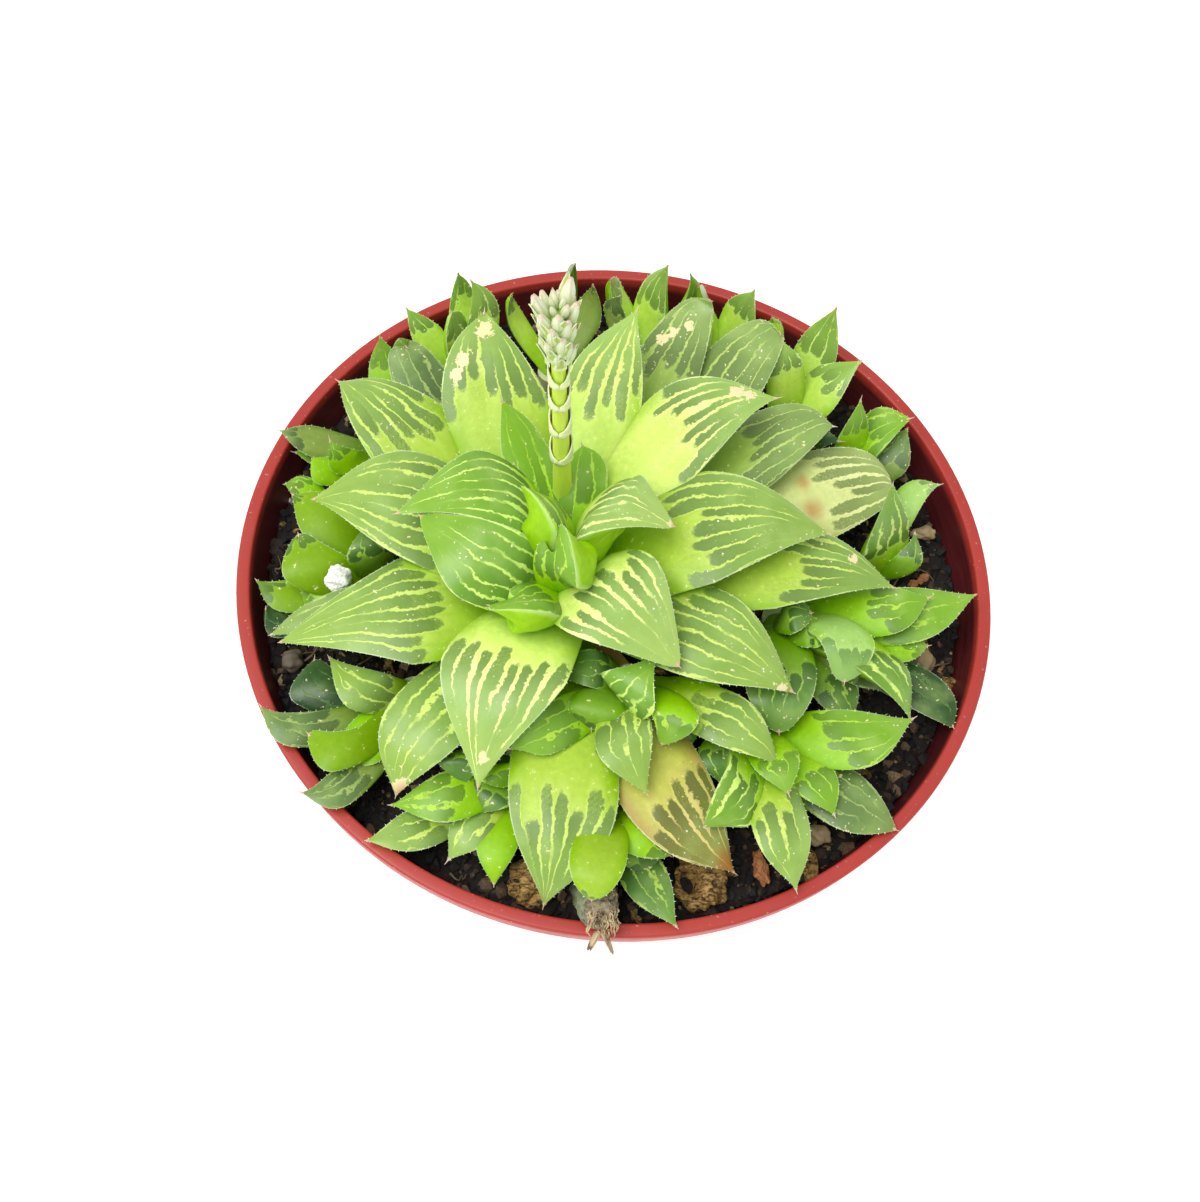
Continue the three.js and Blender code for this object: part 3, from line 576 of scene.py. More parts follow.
# Damp peat swallows light and hardly shines. Dry bits in it are a little lighter.
fine = add(tree, NOISE, {"Vector": place, "Scale": 9 * IN_A_CM, "Detail": 6, "Roughness": 0.7})
broad = add(tree, NOISE, {"Vector": place, "Scale": 1.4 * IN_A_CM, "Detail": 3})
dark = add(tree, MIX, {0: broad, 6: "#0E0D10", 7: "#2B211C"}, **BLEND)
bits = add(tree, RANGE, {0: fine, 1: 0.60, 2: 0.70})
colour = add(tree, MIX, {0: bits, 6: dark, 7: "#4A3A2C"}, **BLEND)
grain = add(tree, BUMP, {"Strength": 0.9, "Distance": 0.6 * MM, "Height": fine})
end_material(tree, {"Base Color": colour, "Roughness": 0.85, "Normal": grain})

# %% The ground
GAP = 0.3
GROUND_SIDES = 120
GROUND_RINGS = 40
BARE_FROM = 30
BARE_FULL = 48
LEAST_BARE = 0.06

edge = outer_radius(SOIL_LEVEL - SOIL_RELIEF) - WALL - GAP
bottom = outer_radius(FLOOR_TOP) - WALL - FLOOR_ROUND
points = [(0, 0, soil_top(0, 0))]
bare = [0.0]
for ring in range(1, GROUND_RINGS + 1):
    radius = edge * ring / GROUND_RINGS
    for x, y, level in circle(radius, SOIL_LEVEL, GROUND_SIDES):
        points.append((x, y, soil_top(x, y) + (clods(x, y) if ring < GROUND_RINGS else 0)))
    share = (radius - BARE_FROM) / (BARE_FULL - BARE_FROM)
    bare += [min(1, max(LEAST_BARE, share))] * GROUND_SIDES
points += circle(bottom, FLOOR_TOP, GROUND_SIDES) + [(0, 0, FLOOR_TOP)]
bare += [0.0] * (GROUND_SIDES + 1)
last = len(points) - 1 - GROUND_SIDES
after = [(side + 1) % GROUND_SIDES for side in range(GROUND_SIDES)]
faces = [(0, 1 + side, 1 + after[side]) for side in range(GROUND_SIDES)]
faces += [(a, d, c, b) for a, b, c, d in bands(GROUND_RINGS, GROUND_SIDES, start=1)]
faces += [(last + side, len(points) - 1, last + after[side]) for side in range(GROUND_SIDES)]
ground = new_piece("soil_ground", points, faces, soil_finish)
note(ground.data, "bare", bare)
print("ground:", len(points), "points, out to", round(edge, 1), "mm")

# %% Finishes of crumbs, bark and perlite
def fill_ramp(ramp, stops):
    """Gives a colour ramp its stops, each a place and a hex colour."""
    while len(ramp.color_ramp.elements) < len(stops):
        ramp.color_ramp.elements.new(0.5)
    for element, (position, shade) in zip(ramp.color_ramp.elements, stops):
        element.position = position
        element.color = linear(shade)
    return ramp.outputs["Color"]


crumb_finish, tree = start_material("potting mix crumbs")
tone = add(tree, SURFACE_NOTE, out="Fac", attribute_name="tone")
# Most crumbs are peat and charred bark, nearly black. The rest is brown and grey, and a few crumbs are light.
crumb_colour = fill_ramp(add(tree, "ShaderNodeValToRGB", {"Fac": tone}, out=None), [
    (0.0, "#0C0B0D"), (0.45, "#1B1614"), (0.7, "#33271E"),
    (0.86, "#4C3B2B"), (0.95, "#6E5A44"), (1.0, "#A08A68")])
place = add(tree, COORDINATES, out="Object")
fine = add(tree, NOISE, {"Vector": place, "Scale": 25 * IN_A_CM, "Detail": 3})
shading = add(tree, RANGE, {0: fine, 1: 0.3, 2: 0.7, 3: 0.6, 4: 1.3})
colour = add(tree, VECTOR_MATH, {0: crumb_colour, "Scale": shading}, operation="SCALE")
end_material(tree, {"Base Color": colour, "Roughness": 0.8,
                    "Normal": add(tree, BUMP, {"Strength": 0.6, "Distance": 0.2 * MM, "Height": fine})})

bark_finish, tree = start_material("composted pine bark")
place = add(tree, COORDINATES, out="Object")
# Bark splits along its growth rings, so its grain is drawn out one way, about half a millimetre wide.
grain = add(tree, NOISE, {
    "Vector": add(tree, MAPPING, {"Vector": place, "Rotation": (0.4, 0.9, 0.2), "Scale": (1, 2.5, 1)}),
    "Scale": 7 * IN_A_CM, "Detail": 6, "Roughness": 0.7, "Distortion": 0.8})
tan = fill_ramp(add(tree, "ShaderNodeValToRGB", {"Fac": grain}, out=None), [
    (0.4, "#33230F"), (0.6, "#CFA55C")])
end_material(tree, {"Base Color": tan, "Roughness": 0.75,
                    "Normal": add(tree, BUMP, {"Strength": 0.8, "Distance": 0.5 * MM, "Height": grain})})

perlite_finish, tree = start_material("expanded perlite")
place = add(tree, COORDINATES, out="Object")
# Perlite is foamed volcanic glass: chalk white and dull, with pits under a millimetre wide.
pits = add(tree, "ShaderNodeTexVoronoi", {"Vector": place, "Scale": 15 * IN_A_CM})
chalk = add(tree, RANGE, {0: pits, 1: 0.0, 2: 0.35})
white = add(tree, MIX, {0: chalk, 6: "#C9C5B8", 7: "#FAFAF5"}, **BLEND)
end_material(tree, {"Base Color": white, "Roughness": 0.9,
                    "Normal": add(tree, BUMP, {"Strength": 0.5, "Distance": 0.3 * MM, "Height": pits})})

# %% Strew crumbs, bark flakes and perlite
# The crumbs are sown twice, because one sowing of them all would be too large a piece.
for sowing in (1, 2):
    crumbs = grow(f"soil_crumbs_{sowing}", ground, crumb_tree, {
        "Per square metre": 320000.0, "Smallest": 0.35 * MM, "Largest": 1.9 * MM, "Flatness": 0.7,
        "Seed": 10 + sowing, "Finish": crumb_finish}, keep_guide=True)
    deliver(crumbs, "soil")
flakes = grow("bark_flakes", ground, crumb_tree, {
    "Per square metre": 11000.0, "Smallest": 0.9 * MM, "Largest": 3.2 * MM, "Flatness": 0.35, "Seed": 23,
    "Finish": bark_finish}, keep_guide=True)
grit = grow("perlite_crumbs", ground, crumb_tree, {
    "Per square metre": 2600.0, "Smallest": 0.4 * MM, "Largest": 1.3 * MM, "Flatness": 0.8, "Seed": 5,
    "Finish": perlite_finish}, keep_guide=True)
deliver(ground, "soil", "soil")
deliver(flakes, "bark")
deliver(grit, "perlite")

# %% [markdown]
# ## Leaves: where each one is
#
# No rule places the leaves of an old clump: each has been pushed by its neighbours. So every leaf is read, in
# millimetres, as it looks from the eye on the level plane `READING_HEIGHT`. A leaf whose tip or shoulder lies
# higher or lower is moved along its line of sight, so that its height doesn't change where it is seen.
#
# Each row has the tip's x, y and height, the shoulder's x, y and height, the width at the shoulder, the roll
# of the window in degrees, and how blunt the tip is. Its last words are its look, and how far along the
# window starts.

# %% The rosettes
READING_HEIGHT = 98

ROSETTES = {
    "main_rosette": ({"x": -9.5, "y": -13, "climb": 0.45, "stem": 8}, [
        (-13, -0.5, 118, -11, -6.5, 118, 12.5, -74, 0.5, "heart", 0.2),
        (-20, 8, 116, -13.8, 3.3, 117, 12, 58, 0.6, "heart", 0.3),
        (-23, -18, 112, -15.8, -15.8, 114, 12, 50, 0.4, "heart", 0.25),
        (-28, 28.5, 118, -20.5, 14, 109, 10.5, 0, -0.3, "fresh", 0.2),
        (-10.5, 20.5, 112, -9, 11, 107, 9, 0, 0, "fresh", 0.25),
        (9.5, 4.8, 117, -4, 6.8, 116, 20, -20, 0.3, "pale", 0.25),
        (13.5, -25, 109, -1.5, -11.5, 114, 22, 0, 0.3, "pale", 0.36),
        (-39.3, -0.8, 113, -23.3, -9.8, 113, 16.5, -15, 0.35, "bright", 0.2),
        (-44, -1, 112, -24, 7, 113, 19.5, 8, 0.1, "bright", 0.2),
        (-60.5, -0.5, 103, -39.5, 1, 105, 23.5, 0, 0, "green", 0.3),
        (-61, 27.5, 101, -44.5, 17, 102, 19, 0, -0.3, "green", 0.42),
        (-35, 50, 113, -29.5, 28.5, 108, 20.5, 0, -0.3, "green", 0.42),
        (-3.5, 56, 114, -8.5, 29, 108, 17, 0, -0.1, "light", 0.45),
        (27.5, 38.5, 112, 7.5, 26, 110, 20, 0, -0.1, "pale", 0.4),
        (40, 8, 107, 16.5, 6, 110, 24, 0, -0.25, "green", 0.33),
        (53, -2, 99, 30, -0.5, 103, 19, 0, -0.3, "green", 0.44),
        (39.5, 33.5, 103, 25, 25.5, 102, 16, 0, -0.3, "bluish", 0.33),
        (52.5, 19.5, 93, 38, 17, 96, 20.5, 0, -0.2, "beige", 0.45),
        (27, 55, 104, 18, 43, 100, 15.5, 0, -0.4, "bluish", 0.3),
        (11.8, 61, 107, 5, 44.5, 101, 14, 0, -0.45, "bluish", 0.34),
        (-49.3, 38.3, 100, -43.3, 28.5, 97, 12, 0, -0.3, "dull", 0.3),
        (35, -27, 101, 16, -17, 106, 19.5, 0, 0.1, "green", 0.32),
        (-19.5, -54, 98, -18.5, -31, 108, 22.5, 0, -0.2, "pale", 0.37),
        (-60, -31.5, 97, -38.5, -21.5, 103, 22, 0, -0.55, "green", 0.36),
        (-62, -30.3, 94, -45, -22.5, 96, 12.5, 0, -0.5, "bluish", 0.3),
        (-33.5, -57.5, 91, -29.5, -41, 99, 15.5, 0, 0.1, "green", 0.26),
        (-5, -73.5, 87, -4.5, -52, 97, 20, 0, 0, "green", 0.47),
        (27, -63, 87, 13, -48.5, 95, 18, 0, -0.1, "tan", 0.47),
    ]),
    "front_centre_offset": ({"x": 5, "y": -28, "climb": 0.5, "stem": 4.5}, [
        (-7.5, -29.5, 99, -1.5, -28, 100, 8, 0, 0.8, "deep", 0.3),
        (-1, -40, 98, -0.5, -35, 101, 10, 0, 0.9, "deep", 0.75),
        (9, -23.5, 107, 4.5, -32, 104, 12, 0, 0, "bright", 0.25),
        (12, -41, 100, 13, -34, 103, 9.5, 10, 0.5, "fresh", 0.6),
        (20, -33, 98, 17, -30, 99, 8, 0, 0.5, "fresh", 0.5),
        (-15, -46, 99, -8, -40.5, 101, 9, -25, 0, "fresh", 0.25),
        (10.5, -51, 99, 5, -40.5, 102, 11, 0, 0, "green", 0.25),
        (4, -50.5, 95, 1, -43, 97, 8.5, 0, 0, "fresh", 0.4),
        (33.5, -42, 97, 22.5, -34, 101, 11, 0, 0, "green", 0.3),
        (17, -41, 93, 14, -37, 95, 9, 0, 0.3, "deep", 0.4),
        (-4, -44, 93, -2, -39, 95, 8.5, 0, 0.3, "deep", 0.4),
    ]),
    "front_right_offset": ({"x": 29, "y": -31, "climb": 0.35, "stem": 4.5}, [
        (35.5, -47, 96, 32.5, -40.5, 97, 9, 0, 0.2, "fresh", 0.5),
        (21, -55.5, 94, 27, -48, 97, 11, -32, 0.2, "bright", 0.3),
        (38, -64.5, 90, 34.5, -53, 95, 10.5, 0, 0, "green", 0.3),
        (44, -50, 92, 39, -43, 93, 9, 0, 0, "fresh", 0.45),
        (55, -51, 89, 44.5, -46, 90, 12, 0, 0.25, "dull", 0.3),
        (57.5, -29, 94, 45, -35, 95, 12.5, 0, 0, "fresh", 0.33),
        (47, -37, 90, 41, -34, 91, 9, 0, 0.1, "deep", 0.5),
        (25, -47.5, 92, 23.5, -40.5, 94, 10.5, 0, 0.3, "deep", 0.4),
    ]),
    "right_offset": ({"x": 34, "y": -6, "climb": 0.3, "stem": 4.5}, [
        (37.5, -10, 98, 33, -11, 98, 8.5, 0, 0.9, "deep", 0.5),
        (41, -13, 96, 37, -14, 96, 7, 0, 0.7, "fresh", 0.6),
        (44.5, -23.5, 96, 43.5, -13.5, 99, 10.5, 0, 0.95, "frosted", 0.55),
        (57, -29, 92, 50.5, -18.5, 96, 11, -25, 0.1, "bright", 0.38),
        (69, -1, 93, 54, -8, 93, 12.5, 0, 0, "fresh", 0.36),
        (60, -3, 96, 50, -7.5, 96, 11, 0, 0, "fresh", 0.4),
        (60, -13.5, 91, 52, -14, 91, 8.5, 0, 0, "fresh", 0.55),
        (65, -29.5, 88, 57, -22, 89, 9.5, 0, 0.3, "dark", 0.35),
        (40, -14, 95, 36, -13.5, 96.5, 8, 0, 0.6, "deep", 0.6),
        (33, -35.5, 95, 32.5, -24, 98, 13.5, 0, 0.65, "deep", 0.35),
        (46, -31, 87, 42, -24, 90, 9.5, 0, 0.3, "deep", 0.4),
        (52, -24, 88, 46, -19, 91, 9, 0, 0.1, "dull", 0.5),
    ]),
    "right_back_offset": ({"x": 52, "y": 9, "climb": 0.2, "stem": 3.5}, [
        (52, 21.5, 104, 51.3, 8, 93, 13, 32, 0.15, "bright", 0.3),
        (61.5, 23, 95, 55, 17.5, 91, 7.5, 0, -0.3, "frosted", 0.7),
        (56.8, 11, 92, 55.3, 4, 90, 5.5, 0, 0, "deep", 0.5),
    ]),
    "back_right_offset": ({"x": 43, "y": 29, "climb": 0.2, "stem": 3}, [
        (44.7, 41, 102, 43.5, 31, 94, 7.5, 25, -0.2, "fresh", 0.5),
        (55, 38, 98, 47.5, 33, 93, 10.5, 0, 0.2, "fresh", 0.35),
        (54.6, 35.5, 95, 50, 27, 89, 10, 0, 0, "dull", 0.4),
        (41, 30, 95, 37, 28.5, 92, 6, 0, 0.2, "dark", 0.4),
    ]),
    "back_right_tall_offset": ({"x": 31, "y": 40, "climb": 0.2, "stem": 3.5}, [
        (38.5, 64, 106, 34.5, 50, 94, 9.5, 0, -0.1, "spring", 0.4),
        (44.5, 51, 99, 36, 41.5, 92, 11, 0, -0.1, "spring", 0.5),
        (27.5, 53, 103, 29, 43.5, 96, 9, 0, 0.2, "spring", 0.5),
    ]),
    "back_centre_right_offset": ({"x": 18, "y": 49, "climb": 0.2, "stem": 3}, [
        (20.7, 65.5, 103, 18, 55, 92, 11, 0, -0.1, "spring", 0.5),
        (25, 59, 98, 24, 53, 90, 6, 0, 0.1, "spring", 0.5),
        (9, 64.5, 102, 12, 57, 92, 8, 0, 0.2, "spring", 0.5),
    ]),
    "back_centre_offset": ({"x": 0, "y": 51, "climb": 0.2, "stem": 3}, [
        (1.7, 69, 104, -0.5, 57.5, 92, 10.5, 0, -0.3, "spring", 0.4),
        (6.8, 67.5, 102, 7, 58, 91, 6, 0, -0.2, "spring", 0.5),
        (-10, 63, 99, -7, 56.5, 91, 9, 0, 0.1, "spring", 0.5),
        (-7.5, 59, 101, -7.5, 53, 94, 5.5, 0, 0, "dull", 0.5),
    ]),
    "back_centre_left_offset": ({"x": -20, "y": 48, "climb": 0.2, "stem": 3}, [
        (-18, 66, 103, -19.5, 57, 92, 9, 0, -0.2, "dull", 0.8),
        (-13.5, 61, 100, -14, 52, 91, 7.5, 0, -0.3, "dull", 0.8),
        (-30, 55.5, 99, -28, 49, 91, 5.5, 0, -0.3, "spring", 0.6),
    ]),
    "back_left_offset": ({"x": -37, "y": 41, "climb": 0.2, "stem": 3.5}, [
        (-42, 59, 103, -39.5, 50, 93, 7, 0, -0.3, "spring", 0.5),
        (-39, 57.5, 104, -35, 48.5, 96, 8.5, 0, -0.4, "spring", 0.4),
        (-41.5, 48.5, 102, -39.5, 43, 96, 8, 20, 0.3, "spring", 0.4),
        (-51, 48, 97, -45, 41, 91, 8, 0, -0.3, "spring", 0.5),
    ]),
    "left_back_offset": ({"x": -50, "y": 20, "climb": 0.25, "stem": 3.5}, [
        (-55, 40, 97, -52, 30, 90, 7, 0, 0, "fresh", 0.55),
        (-70, 14, 92, -62, 12.5, 89, 7.5, 0, 0, "dull", 0.6),
        (-60, 13.5, 95, -55.5, 9, 91, 7, 0, 0, "fresh", 0.6),
        (-62.5, 8.5, 91, -58, 6.5, 89, 7.5, 0, 0.4, "fresh", 0.9),
        (-66, 9.5, 88, -60, 10, 86, 7, 0, 0, "fresh", 0.55),
    ]),
    "left_offset": ({"x": -47, "y": -8, "climb": 0.25, "stem": 4}, [
        (-66.5, 2, 89, -60, -0.5, 87, 7, 0, 0, "fresh", 0.55),
        (-64.5, 0, 91, -56, -5, 91, 12, 0, 0.1, "lush", 0.8),
        (-61.5, -8.5, 94, -56, -15.5, 93, 12, 0, 0.6, "lush", 0.8),
        (-67, -19.5, 88, -59, -21.5, 87, 8, 0, -0.1, "lush", 0.6),
        (-49.5, -5.5, 97, -47, -10, 95, 10, 0, 0.3, "deep", 0.4),
        (-64, -25, 86, -59, -26, 84, 9, 0, 0.3, "dark", 0.4),
        (-57, -23, 88, -54, -19, 89, 10.5, 0, 0.3, "fresh", 0.7),
    ]),
    "left_front_offset": ({"x": -35, "y": -33, "climb": 0.3, "stem": 4.5}, [
        (-50.5, -33, 93, -42.5, -38.5, 93, 9.5, 0, -0.2, "green", 0.2),
        (-53, -34, 89, -49, -40, 88, 12, 0, 0.5, "dark", 0.3),
        (-60.5, -44.5, 91.2, -51, -47.5, 90.2, 8, 0, -0.1, "dull", 0.3),
        (-51, -48.5, 93, -43, -50, 93, 9, 0, 0.7, "lush", 0.95),
        (-50, -59.5, 91.2, -42, -56, 90.2, 8, 0, 0, "dull", 0.35),
        (-46, -53, 88, -40, -47.5, 90, 10, 0, 0.1, "fresh", 0.6),
    ]),
    "front_left_offset": ({"x": -13, "y": -45, "climb": 0.3, "stem": 4.5}, [
        (-34, -59.5, 91, -23.5, -56, 93, 10, 0, 0, "fresh", 0.4),
        (-37, -66.5, 90.5, -27, -62, 89, 8.5, 0, 0, "green", 0.35),
        (-22.5, -68, 88, -18.5, -60, 90, 9, 0, 0, "green", 0.35),
        (-14, -71, 88, -14.5, -62, 90, 8, 0, 0.2, "fresh", 0.9),
        (-22, -53.5, 93, -22.5, -49, 95, 9, 0, 0.5, "deep", 0.45),
        (-14, -53, 93, -15.5, -50, 95, 9, 0, 0.6, "fresh", 0.5),
        (-19, -59, 90, -17, -54, 92, 9.5, 0, 0.1, "deep", 0.5),
        (-28, -61, 88, -22, -57, 90, 8, 0, 0.1, "deep", 0.5),
    ]),
    "front_offset": ({"x": 4.5, "y": -50, "climb": 0.3, "stem": 4.5}, [
        (3, -71.4, 96.5, 3.2, -63.5, 98, 10, 0, 0.75, "plump", 0.85),
        (15.5, -61.5, 91, 10, -57.5, 93, 10, 0, 0.6, "fresh", 0.6),
        (18, -74, 90.5, 11.5, -66, 89, 8.5, 0, 0, "deep", 0.3),
        (12, -66, 88, 9.5, -60.5, 90, 9, 0, 0.2, "deep", 0.6),
        (-1, -62, 89, 0.5, -57.5, 91, 8.5, 0, 0.3, "fresh", 0.6),
    ]),
}


def seen(x, y, z):
    """Where a point of height z lies that is seen at x, y on the reading plane."""
    along = (EYE.z - z) / (EYE.z - READING_HEIGHT)
    return Vector((EYE.x + (x - EYE.x) * along, EYE.y + (y - EYE.y) * along, z))


print("leaves:", sum(len(rows) for heart, rows in ROSETTES.values()))

# %% [markdown]
# ## Leaves: what shape they have
#
# A leaf rises from the heart of its rosette, swells to its shoulder, and bends outwards there into its flat
# window, which narrows to the tip. Its line is a curve through base, shoulder and tip. Rings of points are
# set square to that line: the upper side nearly flat, the underside deep with a keel. The skin over the rings
# is the leaf. Each point keeps a note of where it is on the leaf, across and along, because the pattern of
# the windows follows the leaf.

# %% One leaf's line and rings
LARGE_WIDTH = 12
BEND = 0.38
BULGE = 0.28
TIP_WIDTH = 0.5
TIP_THICKNESS = 0.4
CROWN = 0.3
KEEL = 0.78


def half_width(leaf, along):
    """Half the leaf's width: waisted at its base, widest at the shoulder, and pointed or blunt at the tip."""
    at_base = 0.5 if leaf["width"] > LARGE_WIDTH else 0.65
    if along < 0.5:
        return leaf["width"] / 2 * (at_base + (1 - at_base) * math.sin(math.pi * along))
    out = 2 * along - 1
    bulge = BULGE * (1 + 2 * min(0, leaf["blunt"]))
    pointed = (1 - out) * (1 + bulge * math.sin(math.pi * out))
    rounded_off = math.sqrt(max(0, 1 - out * out))
    return max(TIP_WIDTH / 2, leaf["width"] / 2 * (pointed + (rounded_off - pointed) * max(0, leaf["blunt"])))


def thickness(leaf, along):
    """Plumpest at the shoulder."""
    share = 0.8 + 0.4 * along if along < 0.5 else (2 - 2 * along) ** 0.8
    return max(TIP_THICKNESS, leaf["width"] * leaf["plump"] * share)


def leaf_frame(leaf, along):
    """The centre of a ring, and its directions: to the left margin, up out of the window, and ahead."""
    base, shoulder, tip = leaf["base"], leaf["shoulder"], leaf["tip"]
    corner = (shoulder - (base + tip) * (BEND / 2)) / (1 - BEND)
    first, last = (corner - base) * 2, (tip - corner) * 2
    bent = min(1, max(0, (along - 0.5 + BEND) / (2 * BEND)))
    centre = base + first * along + (last - first) * max(BEND * bent ** 2, along - 0.5)
    tangent = first.lerp(last, bent).normalized()
    to_tip = Vector((tip.x - base.x, tip.y - base.y, 0)).normalized()
    past_shoulder = Vector((tip.x - shoulder.x, tip.y - shoulder.y, 0)).normalized()
    outward = to_tip.lerp(past_shoulder, min(1, 2 * along)).normalized()
    level = Vector((-outward.y, outward.x, 0))
    above = tangent.cross(level).normalized()
    roll = math.radians(leaf["roll"]) * min(1, 2 * along)
    left = level * math.cos(roll) + above * math.sin(roll)
    up = above * math.cos(roll) - level * math.sin(roll)
    return centre, left, up, tangent


print("a leaf is large when it is over", LARGE_WIDTH, "mm wide")

# %% The skin of one leaf
# Rings along a leaf, and points across its upper side and its underside.
SKIN = {"large": (46, 24, 14), "small": (30, 16, 10)}
UNEVEN = 0.03


def tube_faces(rings, sides, start=0):
    """The faces of a closed tube: its bands, then its two ends."""
    last = start + rings * sides
    return bands(rings, sides, start) + [
        tuple(reversed(range(start, start + sides))), tuple(range(last, last + sides))]


def leaf_skin(leaf):
    """Points, faces with their side, and each point's place across and along."""
    stations, above_count, below_count = SKIN["large" if leaf["width"] > LARGE_WIDTH else "small"]
    upper = [math.cos(math.pi * step / above_count) for step in range(above_count)]
    lower = [-math.cos(math.pi * step / below_count) for step in range(below_count)]
    sides = above_count + below_count
    points, across, alongs = [], [], []
    for station in range(stations + 1):
        along = station / stations
        centre, left, up, tangent = leaf_frame(leaf, along)
        half, deep = half_width(leaf, along), thickness(leaf, along)
        crown, keel = deep * CROWN * (1 - 0.7 * along), deep * KEEL
        # From the base to the shoulder, the upper side flattens and the round underside gets its ridge.
        flat = min(1, max(0, (along - 0.35) / 0.35))
        for place in upper:
            swell = (1 - place * place) ** (0.6 + 0.4 * flat)
            drift = noise.noise(centre * 0.12 + left * place * half * 0.2 + leaf["drift"])
            rise = (crown + UNEVEN * leaf["width"] * drift) * swell
            points.append(centre + left * (place * half) + up * rise)
        for place in lower:
            belly = (1 - abs(place) ** 2.6) ** 0.75
            ridged = 1 - abs(place) ** 1.25
            drop = keel * (belly + (ridged - belly) * flat * 0.8)
            points.append(centre + left * (place * half) - up * drop)
        across += upper + lower
        alongs += [along] * sides
    under = [side >= above_count for side in range(sides)] * stations + [True, True]
    return points, tube_faces(stations, sides), under, across, alongs


for size, (stations, above_count, below_count) in SKIN.items():
    print(size, "leaf:", (stations + 1) * (above_count + below_count), "points")

# %% [markdown]
# ## Leaves: their finishes
#
# A haworthia's leaf is covered by a thin waxy skin over clear, watery tissue. On the upper side the tissue
# shows grey green through the windows, between paler lines of veins that run to the tip. A window starts at
# the shoulder as dark, round-ended fingers. Towards the tip it fades into plain green. The underside is plain
# bright green. Light that enters the leaf spreads in it, so the shader has some subsurface scattering.
#
# The pattern is drawn from each point's notes. Across the leaf, the stripe number is counted, and where it is
# near a whole number there is a line. Noise makes the lines wander. A chance for each stripe says where its
# finger starts, and one for each line says how wide it is and how far it runs.

# %% The leaves' looks
# A look has the colours of the shoulder, the window, the lines and the underside, and how bold its lines are.
LOOKS = {
    "green": ("#B4D05C", "#8CAC5C", "#DCEE8C", "#86B420", 0.7),
    "pale": ("#DDF286", "#96B768", "#F6FDB0", "#A4CC44", 1.0),
    "light": ("#C4E070", "#98B866", "#EAF896", "#98C83C", 0.9),
    "bright": ("#A8D44C", "#76A046", "#E0F894", "#8EC414", 0.85),
    "bluish": ("#9CB95A", "#88A260", "#C8DC88", "#7FA832", 0.6),
    "deep": ("#7FA640", "#5F8442", "#B4D26C", "#6CA018", 0.5),
    "fresh": ("#96C63A", "#82AE46", "#BEE068", "#84BE14", 0.5),
    "dull": ("#8AA052", "#6C8650", "#AABF78", "#66882E", 0.5),
    "spring": ("#BEDE66", "#93B75C", "#DCF0A0", "#9CCC3C", 0.5),
    "lush": ("#86AC34", "#70963F", "#B2D468", "#7CA820", 0.5),
    "heart": ("#A6D038", "#7EAA4A", "#C8E870", "#98CC14", 0.6),
    "plump": ("#9FC04A", "#86A852", "#C4DE74", "#86B41E", 0.4),
    "frosted": ("#A8CE76", "#8FB868", "#CFE898", "#92BE48", 0.5),
    "dark": ("#45682F", "#34532C", "#66834C", "#2F521C", 0.4),
    "beige": ("#D4DC96", "#A0B26E", "#EEF4B4", "#A9B45C", 0.8),
    "tan": ("#C3C564", "#8A8E4C", "#E8D694", "#A98A50", 0.8),
}
SURFACE_NOTES = ("across", "along", "seed", "lines", "opens", "bold", "scarred", "blushed")
TINTS = ("shoulder_tint", "window_tint", "line_tint", "under_tint")
# Living tissue passes light on, which makes its colour fuller than that of its skin.
FULLER = 1.09
LIGHTER = 1.02
LEAF_SHINE = {"IOR": 1.42, "Subsurface Weight": 0.22, "Subsurface Radius": (0.9, 1.0, 0.25),
              "Subsurface Scale": 1.8 * MM}

print("leaf looks:", ", ".join(LOOKS))

# %% The windowed side: where its lines are
# Waxed living leaf, smooth over the windows and duller beside them.
window_finish, tree = start_material("haworthia leaf, windowed side")
across, along, seed, lines, opens, bold, scarred, blushed = [
    add(tree, SURFACE_NOTE, out="Fac", attribute_name=name) for name in SURFACE_NOTES]
shoulder_tint, window_tint, line_tint, under_tint = [
    add(tree, SURFACE_NOTE, out="Color", attribute_name=name) for name in TINTS]
place = add(tree, COORDINATES, out="Object")

# The lines wander in slow bends, and their edges are notched. The notches are coarser than real ones, which
# would be too fine to show.
spread = add(tree, MATH, {0: across, 1: 2.4}, operation="MULTIPLY")
drawn = add(tree, MATH, {0: along, 1: 5.0}, operation="MULTIPLY")
shifted = add(tree, MATH, {0: seed, 1: 43.0}, operation="MULTIPLY")
on_leaf = add(tree, "ShaderNodeCombineXYZ", {0: spread, 1: drawn, 2: shifted})
slow = add(tree, NOISE, {"Vector": on_leaf, "Scale": 1.0, "Detail": 1.0})
slow = add(tree, MATH, {0: slow, 1: 1.2, 2: -0.6}, operation="MULTIPLY_ADD")
fine = add(tree, NOISE, {"Vector": place, "Scale": 9 * IN_A_CM, "Detail": 3.0, "Roughness": 0.6})
notched = add(tree, MATH, {0: fine, 1: 0.52, 2: -0.26}, operation="MULTIPLY_ADD")
whole = add(tree, MATH, {0: across, 1: 0.5, 2: 0.5}, operation="MULTIPLY_ADD")
stripe = add(tree, MATH, {0: whole, 1: lines, 2: slow}, operation="MULTIPLY_ADD")
stripe = add(tree, MATH, {0: stripe, 1: notched}, operation="ADD")
cell = add(tree, MATH, {0: stripe}, operation="FLOOR")
in_cell = add(tree, MATH, {0: stripe}, operation="FRACT")
off_middle = add(tree, MATH, {0: in_cell, 1: 0.5}, operation="SUBTRACT")
to_line = add(tree, MATH, {0: off_middle}, operation="ABSOLUTE")
to_line = add(tree, MATH, {0: to_line, 1: 2.0}, operation="MULTIPLY")
line_number = add(tree, MATH, {0: stripe}, operation="ROUND")
